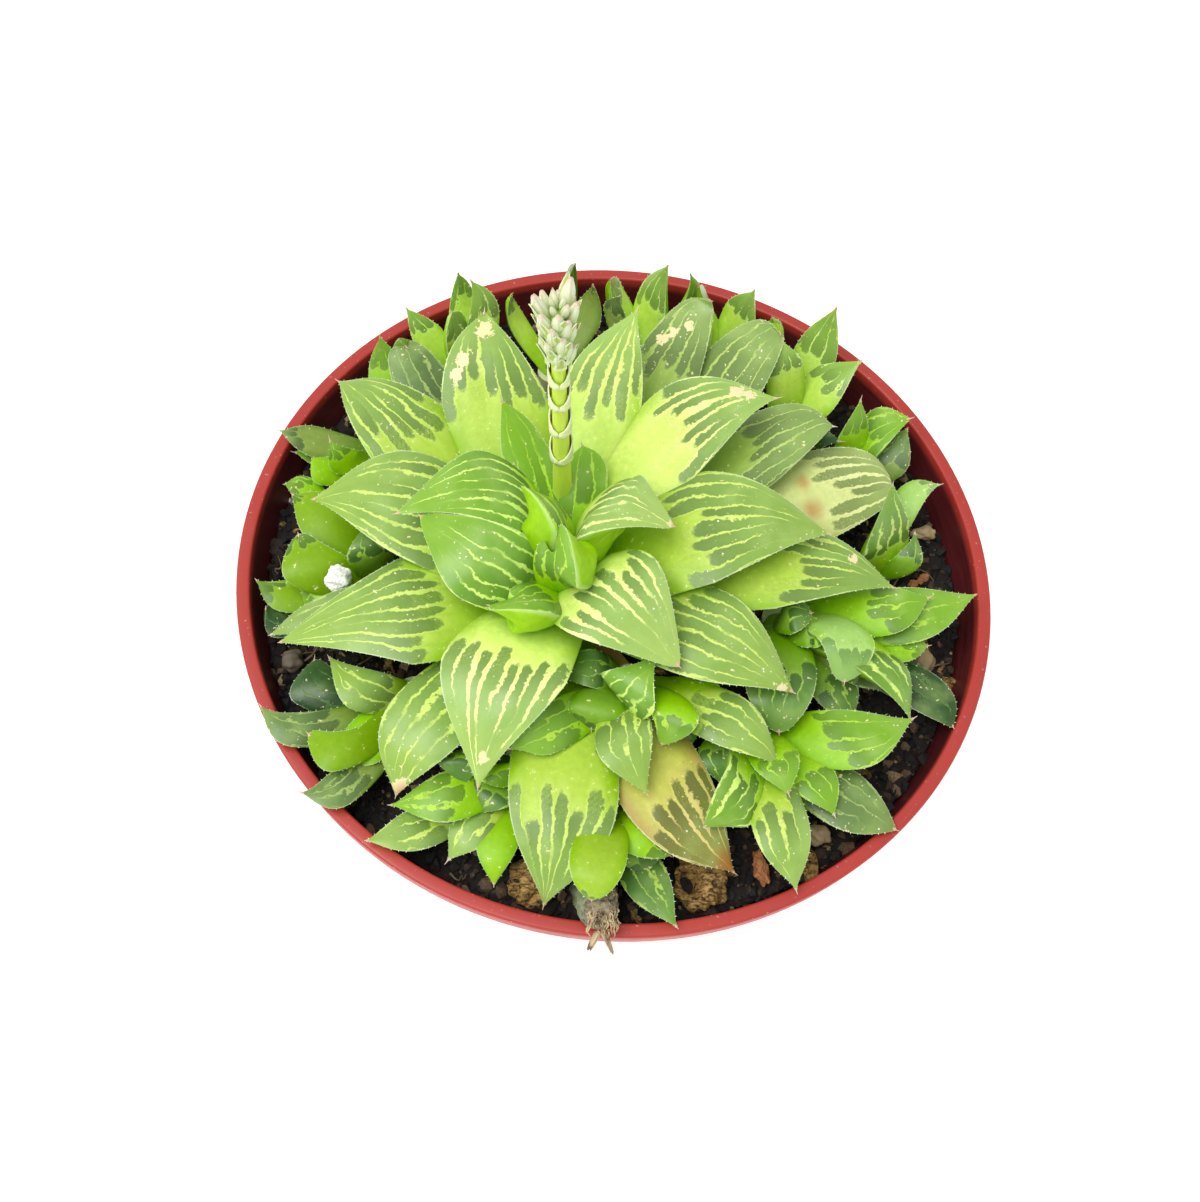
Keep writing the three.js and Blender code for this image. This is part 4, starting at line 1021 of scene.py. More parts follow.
leaf_number = add(tree, MATH, {0: seed, 1: 91.0}, operation="MULTIPLY")
cell_chance, line_chance = [
    add(tree, "ShaderNodeTexWhiteNoise", {"Vector": add(tree, "ShaderNodeCombineXYZ", numbers)},
        noise_dimensions="3D")
    for numbers in ({0: cell, 1: leaf_number}, {0: line_number, 1: leaf_number, 2: 4.0})]
print("placing the lines took", len(tree.nodes), "nodes")

# %% The windowed side: fingers and lines
# The fingers: each stripe's window opens at its own place, round at its end.
round_end = add(tree, MATH, {0: to_line, 1: 3.0}, operation="POWER")
opening = add(tree, MATH, {0: cell_chance, 1: 0.15, 2: opens}, operation="MULTIPLY_ADD")
opening = add(tree, MATH, {0: round_end, 1: 0.05, 2: opening}, operation="MULTIPLY_ADD")
opening = add(tree, MATH, {0: notched, 1: 0.09, 2: opening}, operation="MULTIPLY_ADD")
past = add(tree, MATH, {0: along, 1: opening}, operation="SUBTRACT")
open_window = add(tree, RANGE, {0: past, 1: 0.0, 2: 0.018}, **EASED)
near_start = add(tree, RANGE, {0: past, 1: 0.24, 2: 0.02}, **EASED)

# The lines: each has its own width and runs its own way towards the tip.
line_end = add(tree, RANGE, {0: line_chance, 3: 0.66, 4: 1.04})
left_over = add(tree, MATH, {0: line_end, 1: along}, operation="SUBTRACT")
still_runs = add(tree, RANGE, {0: left_over, 1: 0.0, 2: 0.1}, **EASED)
half_line = add(tree, RANGE, {0: line_chance, 3: 0.14, 4: 0.34})
half_line = add(tree, MATH, {0: half_line, 1: bold}, operation="MULTIPLY")
thinning = add(tree, RANGE, {0: past, 1: 0.0, 2: 0.5, 3: 1.35, 4: 0.6})
half_line = add(tree, MATH, {0: half_line, 1: thinning}, operation="MULTIPLY")
half_line = add(tree, MATH, {0: half_line, 1: still_runs}, operation="MULTIPLY")
line_from = add(tree, MATH, {0: 1.0, 1: half_line}, operation="SUBTRACT")
line_in = add(tree, MATH, {0: to_line, 1: line_from}, operation="SUBTRACT")
line = add(tree, RANGE, {0: line_in, 1: -0.07, 2: 0.07}, **EASED)
line = add(tree, MATH, {0: line, 1: still_runs}, operation="MULTIPLY")
# Past the first third of the window, some lines break up into dashes.
dash_place = add(tree, "ShaderNodeCombineXYZ", {
    0: add(tree, MATH, {0: line_number, 1: 3.7}, operation="MULTIPLY"),
    1: add(tree, MATH, {0: along, 1: 9.0}, operation="MULTIPLY"), 2: leaf_number})
dashes = add(tree, NOISE, {"Vector": dash_place, "Scale": 1.0, "Detail": 1.0})
faded = add(tree, RANGE, {0: dashes, 1: 0.40, 2: 0.50, 3: 0.85, 4: 0.0}, **EASED)
far_out = add(tree, RANGE, {0: past, 1: 0.1, 2: 0.3})
faded = add(tree, MATH, {0: faded, 1: far_out}, operation="MULTIPLY")
faded = add(tree, MATH, {0: 1.0, 1: faded}, operation="SUBTRACT")
line = add(tree, MATH, {0: line, 1: faded}, operation="MULTIPLY")

print("with the fingers and lines:", len(tree.nodes), "nodes")

# %% The windowed side: skin and window
# The skin: palest on top of the shoulder, and blending into the underside's darker green towards the base and
# the sides, which is painted shade.
side = add(tree, MATH, {0: across}, operation="ABSOLUTE")
base_shade = add(tree, RANGE, {0: along, 1: 0.12, 2: 0.42, 3: 1.0, 4: 0.0}, **EASED)
side_shade = add(tree, RANGE, {0: side, 1: 0.55, 2: 1.0, 3: 0.0, 4: 0.75}, **EASED)
base_and_side_shade = add(tree, MATH, {0: base_shade, 1: side_shade}, operation="MAXIMUM")
skin = add(tree, MIX, {0: base_and_side_shade, 6: shoulder_tint, 7: under_tint}, **BLEND)
dotted = add(tree, RANGE, {0: fine, 1: 0.3, 2: 0.7, 3: 0.93, 4: 1.07})
skin = add(tree, VECTOR_MATH, {0: skin, "Scale": dotted}, operation="SCALE")

# The window: darkest where it opens, clouded further out, and plain green at the tip.
deep_window = add(tree, VECTOR_MATH, {0: window_tint, "Scale": 0.66}, operation="SCALE")
clouds = add(tree, NOISE, {"Vector": place, "Scale": 1.7 * IN_A_CM, "Detail": 3.0})
cloudy = add(tree, RANGE, {0: clouds, 1: 0.42, 2: 0.72, 3: 0.0, 4: 0.35})
misty = add(tree, MIX, {0: cloudy, 6: window_tint, 7: "#C0D98A"}, **BLEND)
glass = add(tree, MIX, {0: near_start, 6: misty, 7: deep_window}, **BLEND)
tip_near = add(tree, RANGE, {0: past, 1: 0.15, 2: 0.65, 3: 0.0, 4: 0.6}, **EASED)
tip_green = add(tree, MIX, {0: 0.55, 6: shoulder_tint, 7: window_tint}, **BLEND)
glass = add(tree, MIX, {0: tip_near, 6: glass, 7: tip_green}, **BLEND)
clear = add(tree, MATH, {0: 1.0, 1: line}, operation="SUBTRACT")
clear = add(tree, MATH, {0: clear, 1: open_window}, operation="MULTIPLY")
line_gain = add(tree, RANGE, {0: past, 1: -0.06, 2: 0.1, 3: 0.0, 4: 0.85}, **EASED)
veined = add(tree, MIX, {0: line_gain, 6: skin, 7: line_tint}, **BLEND)
face = add(tree, MIX, {0: clear, 6: veined, 7: glass}, **BLEND)

print("with the skin and the window:", len(tree.nodes), "nodes")

# %% The windowed side: flecks, margin, scars and dry tip
# White flecks of dried sap, the pale see-through margin, the corky scars, the red blotches, and the dry tip.
flecks = add(tree, "ShaderNodeTexVoronoi", {"Vector": place, "Scale": 13 * IN_A_CM}, out=None)
fleck_chance = add(tree, "ShaderNodeSeparateColor", {0: flecks.outputs["Color"]})
clusters = add(tree, RANGE, {0: clouds, 1: 0.5, 2: 0.72, 3: 0.997, 4: 0.6})
few = add(tree, MATH, {0: fleck_chance, 1: clusters}, operation="GREATER_THAN")
ragged = add(tree, MATH, {0: fine, 1: 0.9, 2: flecks.outputs["Distance"]}, operation="MULTIPLY_ADD")
small = add(tree, RANGE, {0: ragged, 1: 0.64, 2: 0.54})
fleck = add(tree, MATH, {0: few, 1: small}, operation="MULTIPLY")
fleck = add(tree, MATH, {0: fleck, 1: open_window}, operation="MULTIPLY")
face = add(tree, MIX, {0: fleck, 6: face, 7: "#EFF6E4"}, **BLEND)
past_shoulder = add(tree, RANGE, {0: along, 1: 0.4, 2: 0.6, 3: 0.0, 4: 0.6})
at_margin = add(tree, RANGE, {0: side, 1: 0.97, 2: 0.99})
at_margin = add(tree, MATH, {0: at_margin, 1: past_shoulder}, operation="MULTIPLY")
face = add(tree, MIX, {0: at_margin, 6: face, 7: "#DDEDC0"}, **BLEND)
patchy = add(tree, MATH, {0: fine, 1: 1.8, 2: scarred}, operation="MULTIPLY_ADD")
scar = add(tree, RANGE, {0: patchy, 1: 1.2, 2: 1.28})
face = add(tree, MIX, {0: scar, 6: face, 7: "#F0E4B4"}, **BLEND)
patchy = add(tree, MATH, {0: fine, 1: 0.5, 2: blushed}, operation="MULTIPLY_ADD")
blush = add(tree, RANGE, {0: patchy, 1: 0.3, 2: 1.2, 3: 0.0, 4: 0.6}, **EASED)
face = add(tree, MIX, {0: blush, 6: face, 7: "#B9683C"}, **BLEND)
dry = add(tree, RANGE, {0: along, 1: 0.98, 2: 0.995})
face = add(tree, MIX, {0: dry, 6: face, 7: "#D9B795"}, **BLEND)

gloss = add(tree, RANGE, {0: clear, 3: 0.46, 4: 0.33})
raised = add(tree, MATH, {0: line, 1: open_window}, operation="MULTIPLY")
relief = add(tree, MATH, {0: fine, 1: 0.5, 2: raised}, operation="MULTIPLY_ADD")
relief = add(tree, BUMP, {"Strength": 0.35, "Distance": 0.12 * MM, "Height": relief})
face = add(tree, "ShaderNodeHueSaturation", {"Saturation": FULLER, "Value": LIGHTER, "Color": face})
end_material(tree, {"Base Color": face, "Roughness": gloss, "Normal": relief, **LEAF_SHINE})

# %% The plain underside
# The same waxed leaf without windows: even green, and a little paler at its margins.
under_finish, tree = start_material("haworthia leaf, underside")
across, along, lines = [
    add(tree, SURFACE_NOTE, out="Fac", attribute_name=name) for name in ("across", "along", "lines")]
under_tint, line_tint = [
    add(tree, SURFACE_NOTE, out="Color", attribute_name=name) for name in ("under_tint", "line_tint")]
place = add(tree, COORDINATES, out="Object")
fine = add(tree, NOISE, {"Vector": place, "Scale": 7 * IN_A_CM, "Detail": 4.0})
broad = add(tree, NOISE, {"Vector": place, "Scale": 1.2 * IN_A_CM, "Detail": 2.0})
side = add(tree, MATH, {0: across}, operation="ABSOLUTE")
# Faint paler stripes run to the tip, and the margin is paler too.
streak = add(tree, MATH, {0: across, 1: lines}, operation="MULTIPLY")
streak = add(tree, MATH, {0: broad, 1: 5.0, 2: streak}, operation="MULTIPLY_ADD")
streak = add(tree, MATH, {0: streak, 1: 3.0}, operation="MULTIPLY")
streak = add(tree, MATH, {0: streak}, operation="SINE")
streak = add(tree, RANGE, {0: streak, 1: 0.4, 2: 1.0, 3: 0.0, 4: 0.3}, **EASED)
outer = add(tree, RANGE, {0: along, 1: 0.45, 2: 0.7})
streak = add(tree, MATH, {0: streak, 1: outer}, operation="MULTIPLY")
shading = add(tree, RANGE, {0: fine, 1: 0.3, 2: 0.7, 3: 0.92, 4: 1.08})
skin = add(tree, VECTOR_MATH, {0: under_tint, "Scale": shading}, operation="SCALE")
skin = add(tree, MIX, {0: streak, 6: skin, 7: line_tint}, **BLEND)
edge_share = add(tree, RANGE, {0: side, 1: 0.93, 2: 1.0, 3: 0.0, 4: 0.7})
skin = add(tree, MIX, {0: edge_share, 6: skin, 7: "#D2E8A4"}, **BLEND)
dry = add(tree, RANGE, {0: along, 1: 0.972, 2: 0.992})
skin = add(tree, MIX, {0: dry, 6: skin, 7: "#C99A72"}, **BLEND)
# The very base, deep in the heart, gets no light and is nearly white.
blanched = add(tree, RANGE, {0: along, 1: 0.12, 2: 0.0, 3: 0.0, 4: 0.8})
skin = add(tree, MIX, {0: blanched, 6: skin, 7: "#DCE4B4"}, **BLEND)
relief = add(tree, BUMP, {"Strength": 0.25, "Distance": 0.1 * MM, "Height": fine})
skin = add(tree, "ShaderNodeHueSaturation", {"Saturation": FULLER, "Value": LIGHTER, "Color": skin})
end_material(tree, {"Base Color": skin, "Roughness": 0.4, "Normal": relief, **LEAF_SHINE})

# %% [markdown]
# ## Leaves: the pieces
#
# One piece is made for each offset. The main rosette is shared among a few pieces, from its heart outwards,
# so that no mesh is too large to give its pattern room. Scars and a red blotch are placed on the leaves that
# have them.

# %% Scars and blotches
# Each scar or blotch is a place on the reading plane and a radius, under its leaf's number.
SCARS = {"main_rosette": {
    5: [(9.2, 4.9, 1.3)],
    11: [(-34.3, 45.3, 2.6), (-37.3, 36.8, 2.0), (-38, 33, 2.0)],
    13: [(19, 38.5, 1.8), (21.5, 38.4, 2.0)],
    15: [(45, 3, 1.4)],
    19: [(2.5, 49.5, 1.9), (5, 51.6, 1.7), (7.8, 53.8, 1.5)],
    21: [(33, -26.6, 1.5)],
    22: [(-19.5, -48.5, 1.3)],
    25: [(-33, -56, 2.2)],
}}
BLUSHES = {"main_rosette": {
    5: [(9.6, 4.7, 0.9)],
    17: [(34, 19, 2.6), (36.5, 13, 3.5)],
    21: [(34.6, -27, 1.0)],
    25: [(-32.5, -57, 2.4)],
    27: [(26, -61.5, 4.5)],
}}
SCAR_SQUASH = 0.8


def scar_share(point, scars):
    """How near a point is to a scar, as seen from the eye: 1 in its middle and 0 outside."""
    back = (EYE.z - READING_HEIGHT) / (EYE.z - point.z)
    x, y = EYE.x + (point.x - EYE.x) * back, EYE.y + (point.y - EYE.y) * back
    return max([0] + [1 - math.hypot(x - at_x, (y - at_y) * SCAR_SQUASH) / radius
                      for at_x, at_y, radius in scars])


print("leaves with scars:", sum(len(leaves) for leaves in SCARS.values()))

# %% Read a leaf
ROLLED_FROM = 45
ROLLED_PLUMP = 0.7
LARGE_PLUMP = 0.36
SMALL_PLUMP = 0.48


def read_leaf(row, heart, number, name):
    """A row of the rosettes as a leaf, with its own seeded chances."""
    tip_x, tip_y, tip_z, x, y, z, width, roll, blunt, look, opens = row
    plump = ROLLED_PLUMP if abs(roll) > ROLLED_FROM else LARGE_PLUMP if width > LARGE_WIDTH else SMALL_PLUMP
    foot = SOIL_LEVEL + 1 + heart["climb"] * (z - SOIL_LEVEL)
    leaf = {
        "tip": seen(tip_x, tip_y, tip_z), "shoulder": seen(x, y, z),
        "base": Vector((heart["x"], heart["y"], foot)),
        "width": width, "roll": roll, "blunt": blunt, "plump": plump, "look": look, "opens": opens,
    }
    chance = random.Random(f"{name} {number}")
    leaf["drift"] = Vector([chance.uniform(0, 90) for axis in range(3)])
    leaf["seed"] = chance.random()
    leaf["scars"] = SCARS.get(name, {}).get(number, [])
    leaf["blushes"] = BLUSHES.get(name, {}).get(number, [])
    leaf["bristle"] = chance.uniform(0.3, 1.1)
    return leaf


first_heart, first_rows = ROSETTES["main_rosette"]
first_leaf = read_leaf(first_rows[0], first_heart, 0, "main_rosette")
print("the first leaf starts at", [round(value, 1) for value in first_leaf["base"]])

# %% Margins and tips
MARGIN_FROM = 0.42
MARGIN_RUN = 0.55
MARGIN_STEPS = 14
TOOTH_SUNK = 0.05
margin_lines, margin_out, tips = [], [], []


def gather_margin(leaf):
    """Keeps the lines of both margins, the way out from each, and where the bristle stands."""
    for way in (1, -1):
        line, out = [], []
        for step in range(MARGIN_STEPS + 1):
            along = MARGIN_FROM + MARGIN_RUN * step / MARGIN_STEPS
            centre, left, up, tangent = leaf_frame(leaf, along)
            line.append(centre + left * (way * (half_width(leaf, along) - TOOTH_SUNK)))
            out.append(tuple((left * way + up * 0.3 + tangent * 0.5).normalized()))
        margin_lines.append(line)
        margin_out.extend(out)
    centre, left, up, tangent = leaf_frame(leaf, 1)
    tips.append((centre, (tangent + up * 0.25).normalized(), leaf["bristle"]))

# %% Build the leaves
LEAVES_IN_A_PIECE = 7
LINE_SPACING = 2.9
STEM_SIDES = 20
STEM_TINT = "#B9C07A"
ROOT_DEPTH = 14
LEAF_SHARP_FROM = 62


def leaves_piece(name, leaves, node, heart=None):
    """One mesh of several leaves and, where a heart is given, the stem below them."""
    points, faces, sides = [], [], []
    notes = {key: [] for key in SURFACE_NOTES}
    tints = {key: [] for key in TINTS}
    for leaf in leaves:
        skin, skin_faces, under, across, alongs = leaf_skin(leaf)
        start = len(points)
        points += skin
        faces += [tuple(start + corner for corner in face) for face in skin_faces]
        sides += under
        count = len(skin)
        notes["across"] += across
        notes["along"] += alongs
        notes["seed"] += [leaf["seed"]] * count
        notes["lines"] += [max(3, round(leaf["width"] / LINE_SPACING))] * count
        notes["bold"] += [LOOKS[leaf["look"]][-1]] * count
        notes["opens"] += [leaf["opens"]] * count
        notes["scarred"] += [scar_share(point, leaf["scars"]) for point in skin]
        notes["blushed"] += [scar_share(point, leaf["blushes"]) for point in skin]
        for key, shade in zip(tints, LOOKS[leaf["look"]]):
            tints[key] += [linear(shade)] * count
        gather_margin(leaf)
    if heart:
        top = max(leaf["base"].z for leaf in leaves)
        start = len(points)
        for z in (SOIL_LEVEL - ROOT_DEPTH, top):
            points += circle(heart["stem"], z, STEM_SIDES, heart["x"], heart["y"])
        faces += tube_faces(1, STEM_SIDES, start)
        sides += [True] * (STEM_SIDES + 2)
        for key in notes:
            notes[key] += [0] * (2 * STEM_SIDES)
        for key in tints:
            tints[key] += [linear(STEM_TINT)] * (2 * STEM_SIDES)
    piece = new_piece(name, points, faces, window_finish, under_finish)
    piece.data.polygons.foreach_set("material_index", [int(side) for side in sides])
    for key, values in notes.items():
        note(piece.data, key, values)
    for key, values in tints.items():
        note(piece.data, key, values, "FLOAT_COLOR")
    piece.data.set_sharp_from_angle(angle=math.radians(LEAF_SHARP_FROM))
    deliver(piece, "leaf", node)


for name, (heart, rows) in ROSETTES.items():
    leaves = [read_leaf(row, heart, number, name) for number, row in enumerate(rows)]
    if name == "main_rosette":
        for number, start in enumerate(range(0, len(leaves), LEAVES_IN_A_PIECE)):
            leaves_piece(f"main_rosette_leaves_{number + 1}", leaves[start:start + LEAVES_IN_A_PIECE], name,
                         heart if number == 0 else None)
    else:
        leaves_piece(f"{name}_leaves", leaves, name, heart)

# %% [markdown]
# ## Teeth and bristles
#
# A leaf's margin has tiny pale teeth about a millimetre apart, and its tip runs out in a pale bristle. The
# real teeth are a quarter of a millimetre long, and these are a little longer, so that they still show. The
# lines of the margins were gathered while the leaves were made, each with the direction in which its teeth
# point.

# %% Horn and straw
def mottled_material(name, bumps, detail, dark, light, roughness, relief=None, extra=None):
    """A finish of two colours mixed by noise, with so many bumps in a centimetre.

    Its relief is how strong the bumps are, and how deep in millimetres.
    """
    material, tree = start_material(name)
    place = add(tree, COORDINATES, out="Object")
    mottled = add(tree, NOISE, {"Vector": place, "Scale": bumps * IN_A_CM, "Detail": detail})
    feeds = {"Base Color": add(tree, MIX, {0: mottled, 6: dark, 7: light}, **BLEND), "Roughness": roughness}
    if relief:
        strength, depth = relief
        feeds["Normal"] = add(tree, BUMP, {"Strength": strength, "Distance": depth * MM, "Height": mottled})
    end_material(tree, {**feeds, **(extra or {})})
    return material


# The margin is clear horn without green tissue, so it is pale and lets light through.
tooth_finish = mottled_material("leaf margin, pale and horny", 3, 2, "#C6DE92", "#F2F5E2", 0.45,
                                extra={"Subsurface Weight": 0.2, "Subsurface Scale": 0.5 * MM})
# A bristle is dry: straw to reddish, and dull.
bristle_finish = mottled_material("dry leaf bristle", 4.2, 2, "#C98E66", "#F4EEDC", 0.55)

# %% Teeth
teeth = grow("leaf_margin_teeth", guide_lines(margin_lines, outward=margin_out), tooth_tree, {
    "Spacing": 1.3 * MM, "Length": 0.34 * MM, "Width": 0.2 * MM, "Seed": 4, "Finish": tooth_finish})
deliver(teeth, "leaf")

# %% Bristles
BRISTLE_SUNK = 0.6
BRISTLE_LIFT = Vector((0, 0, 0.25))

bristles = []
for point, way, length in tips:
    middle = point + way * length * 0.5 + BRISTLE_LIFT * length * 0.2
    bristles.append([point - way * BRISTLE_SUNK, middle, point + way * length + BRISTLE_LIFT * length])
bristle_guide = guide_lines(bristles, girth=[1.0] * 3 * len(bristles))
awns = grow("leaf_tip_bristles", bristle_guide, fibre_tree, {
    "Thickness": 0.42 * MM, "Tip share": 0.2, "Finish": bristle_finish})
deliver(awns, "leaf")

# %% [markdown]
# ## The flower stalk
#
# The stalk is green and firm. A few papery bracts clasp it, whitish with a brown midrib, and they all open to
# the front, each turned a little from the last. A dense head of closed buds with small bracts stands on top,
# and its parts follow each other in a spiral, one golden angle after the next. So one bract and one bud are
# modelled, and Geometry Nodes place them up the stalk.

# %% Stalk
STALK_FOOT = Vector((-12, 4.8, 94))
STALK_TOP = Vector((-16.2, 4.1, 165))
STALK_RADIUS = (2.2, 1.15)
STALK_SIDES = 28
STALK_RINGS = 36
RIBS = 7
HEAD_END = 159
stalk_axis = (STALK_TOP - STALK_FOOT).normalized()
stalk_across = Vector((0, 1, 0)).cross(stalk_axis).normalized()
stalk_beside = stalk_axis.cross(stalk_across)


def on_stalk(height):
    """The point of the stalk's axis at this height."""
    return STALK_FOOT + stalk_axis * ((height - STALK_FOOT.z) / stalk_axis.z)


stalk_finish, tree = start_material("fresh flower stalk")
place = add(tree, COORDINATES, out="Object")
# Firm young tissue has a soft shine. It is yellower and paler low down, darker green higher up as painted
# shade, and finely streaked.
height = add(tree, "ShaderNodeSeparateXYZ", {0: place}, out="Z")
shade_upwards = add(tree, RANGE, {0: height, 1: 96 * MM, 2: 150 * MM})
drawn_out = add(tree, MAPPING, {"Vector": place, "Scale": (1, 1, 0.08)})
streaks = add(tree, NOISE, {"Vector": drawn_out, "Scale": 13 * IN_A_CM, "Detail": 2})
low = add(tree, MIX, {0: streaks, 6: "#DAF040", 7: "#F2FC78"}, **BLEND)
high = add(tree, MIX, {0: streaks, 6: "#B8E038", 7: "#D8F460"}, **BLEND)
green = add(tree, MIX, {0: shade_upwards, 6: low, 7: high}, **BLEND)
end_material(tree, {"Base Color": green, "Roughness": 0.5,
                    "Subsurface Weight": 0.15, "Subsurface Scale": 1 * MM,
                    "Normal": add(tree, BUMP, {"Strength": 0.4, "Distance": 0.2 * MM, "Height": streaks})})

points = []
for ring in range(STALK_RINGS + 1):
    share = ring / STALK_RINGS
    centre = STALK_FOOT.lerp(on_stalk(HEAD_END), share)
    radius = STALK_RADIUS[1] + (STALK_RADIUS[0] - STALK_RADIUS[1]) * (1 - share) ** 1.8
    for side in range(STALK_SIDES):
        turn = 2 * math.pi * side / STALK_SIDES
        ribbed = radius * (1 + 0.035 * math.cos(RIBS * turn))
        spoke = stalk_across * (ribbed * math.cos(turn)) + stalk_beside * (ribbed * math.sin(turn))
        points.append(centre + spoke)
peduncle = new_piece("flower_peduncle", points, tube_faces(STALK_RINGS, STALK_SIDES), stalk_finish)
deliver(peduncle, "stalk", "flower_stalk")

# %% Finishes of bracts and buds
THIN_AND_SOFT = {"Subsurface Weight": 0.3, "Subsurface Scale": 0.8 * MM}

# Bracts are thin and dry, so light comes through them. Only round the midrib they are still green.
bract_finish, tree = start_material("papery bract with a brown midrib")
across, along = [add(tree, SURFACE_NOTE, out="Fac", attribute_name=name) for name in ("across", "along")]
place = add(tree, COORDINATES, out="Object")
side = add(tree, MATH, {0: across}, operation="ABSOLUTE")
wavy = add(tree, NOISE, {"Vector": place, "Scale": 6 * IN_A_CM, "Detail": 2})
off_rib = add(tree, MATH, {0: wavy, 1: 0.16, 2: side}, operation="MULTIPLY_ADD")
rib = add(tree, RANGE, {0: off_rib, 1: 0.24, 2: 0.15, 3: 0.0, 4: 0.7})
outer = add(tree, RANGE, {0: along, 1: 0.35, 2: 0.7})
rib = add(tree, MATH, {0: rib, 1: outer}, operation="MULTIPLY")
greenish = add(tree, RANGE, {0: side, 1: 0.8, 2: 0.45, 3: 0.0, 4: 0.85})
above_foot = add(tree, RANGE, {0: along, 1: 0.08, 2: 0.22})
greenish = add(tree, MATH, {0: greenish, 1: above_foot}, operation="MULTIPLY")
paper = add(tree, MIX, {0: along, 6: "#F4FBC0", 7: "#E6EDC8"}, **BLEND)
paper = add(tree, MIX, {0: greenish, 6: paper, 7: "#A9C244"}, **BLEND)
veined = add(tree, MIX, {0: rib, 6: paper, 7: "#B08468"}, **BLEND)
end_material(tree, {"Base Color": veined, "Roughness": 0.6, **THIN_AND_SOFT})

# A closed bud is white, with a faint brownish vein down each petal and a brownish tip.
bud_finish, tree = start_material("closed flower bud")
across, along = [add(tree, SURFACE_NOTE, out="Fac", attribute_name=name) for name in ("across", "along")]
veins = add(tree, MATH, {0: across, 1: 6 * math.pi}, operation="MULTIPLY")
veins = add(tree, MATH, {0: veins}, operation="COSINE")
vein = add(tree, RANGE, {0: veins, 1: 0.55, 2: 0.95, 3: 0.0, 4: 0.4})
petal = add(tree, MIX, {0: along, 6: "#C2DA92", 7: "#F2F6DC"}, **BLEND)
petal = add(tree, MIX, {0: vein, 6: petal, 7: "#A8A070"}, **BLEND)
brown_tip = add(tree, RANGE, {0: along, 1: 0.84, 2: 0.98, 3: 0.0, 4: 0.5})
petal = add(tree, MIX, {0: brown_tip, 6: petal, 7: "#C99C88"}, **BLEND)
end_material(tree, {"Base Color": petal, "Roughness": 0.5, **THIN_AND_SOFT})

# %% One bract and one bud
def bract_part(name, length, sweep, radius, lean, thick, rows, columns):
    """A clasping sheet with two skins, round a stalk that stands at the origin."""
    points, across, alongs = [], [], []
    for skin in (thick, 0):
        for row in range(rows + 1):
            share = row / rows
            opening = math.sqrt(max(0, share - 0.18) / 0.82)
            spread = sweep * (1 - 0.5 * opening) * (1 - 0.95 * share ** 3)
            for column in range(columns + 1):
                way = 2 * column / columns - 1
                off = radius + skin * (1 - 0.6 * share) + lean * share ** 1.6 - 0.15 * way * way * share
                points.append((off * math.cos(way * spread), off * math.sin(way * spread), length * share))
                across.append(way)
                alongs.append(share)
    wide, inner = columns + 1, (rows + 1) * (columns + 1)
    faces = []
    for corner in [row * wide + column for row in range(rows) for column in range(columns)]:
        faces.append((corner, corner + 1, corner + wide + 1, corner + wide))
        faces.append((inner + corner, inner + corner + wide, inner + corner + wide + 1, inner + corner + 1))
    rim = list(range(wide))
    rim += [row * wide + columns for row in range(1, rows + 1)]
    rim += [rows * wide + column for column in reversed(range(columns))]
    rim += [row * wide for row in reversed(range(1, rows))]
    for here, there in zip(rim, rim[1:] + rim[:1]):
        faces.append((there, here, here + inner, there + inner))
    part = new_piece(name, points, faces, bract_finish)
    note(part.data, "across", across)
    note(part.data, "along", alongs)
    return part


def bud_part(name, length, width, stand_off, lean, rings, sides):
    """A slim closed bud that leans out from a stalk at the origin."""
    points, across, alongs = [], [], []
    for ring in range(rings + 1):
        share = ring / rings
        girth = width / 2 * (0.35 + 0.65 * math.sin(math.pi * min(1, 0.15 + 0.9 * share)) ** 0.8)
        points += circle(girth, length * share, sides, x=stand_off + lean * share)
        across += [side / sides for side in range(sides)]
        alongs += [share] * sides
    part = new_piece(name, points, tube_faces(rings, sides), bud_finish)
    note(part.data, "across", across)
    note(part.data, "along", alongs)
    return part

# %% Up the stalk
STALK_BRACT = {"length": 7.5, "sweep": 3.12, "radius": 1.85, "lean": 0.4, "thick": 0.36,
               "rows": 12, "columns": 14}
HEAD_BRACT = {"length": 6.8, "sweep": 0.6, "radius": 2.6, "lean": 1.9, "thick": 0.2,
              "rows": 6, "columns": 6}
BUD = {"length": 6, "width": 2.5, "stand_off": 1.7, "lean": 1.7, "rings": 8, "sides": 9}
BRACTS = [(117.5, 1.0), (126.5, 0.96), (134.5, 0.92), (141, 0.88)]
BRACTS_OPEN = math.pi / 2 - 0.15
BRACT_TURN = 0.12
HEAD_FROM = 146.5
HEAD_TO = 158.5
HEAD_PARTS = 26
TOP_PARTS = 5
HEAD_BRACT_DROP = 1.0
HEAD_BRACT_TURN = 0.25


def up_the_stalk(name, part, places, first_turn, finish, turn_step=GOLDEN_TURN):
    """Places one part in a spiral up the stalk. A place is a height in millimetres and a scale."""
    guide = guide_lines([[on_stalk(height) for height, scale in places]],
                        axis=[tuple(stalk_axis)] * len(places), scale=[scale for height, scale in places])
    piece = grow(name, guide, spiral_tree, {
        "Part": part, "First turn": first_turn, "Turn step": turn_step, "Finish": finish})
    bpy.data.objects.remove(part)
    deliver(piece, "stalk")


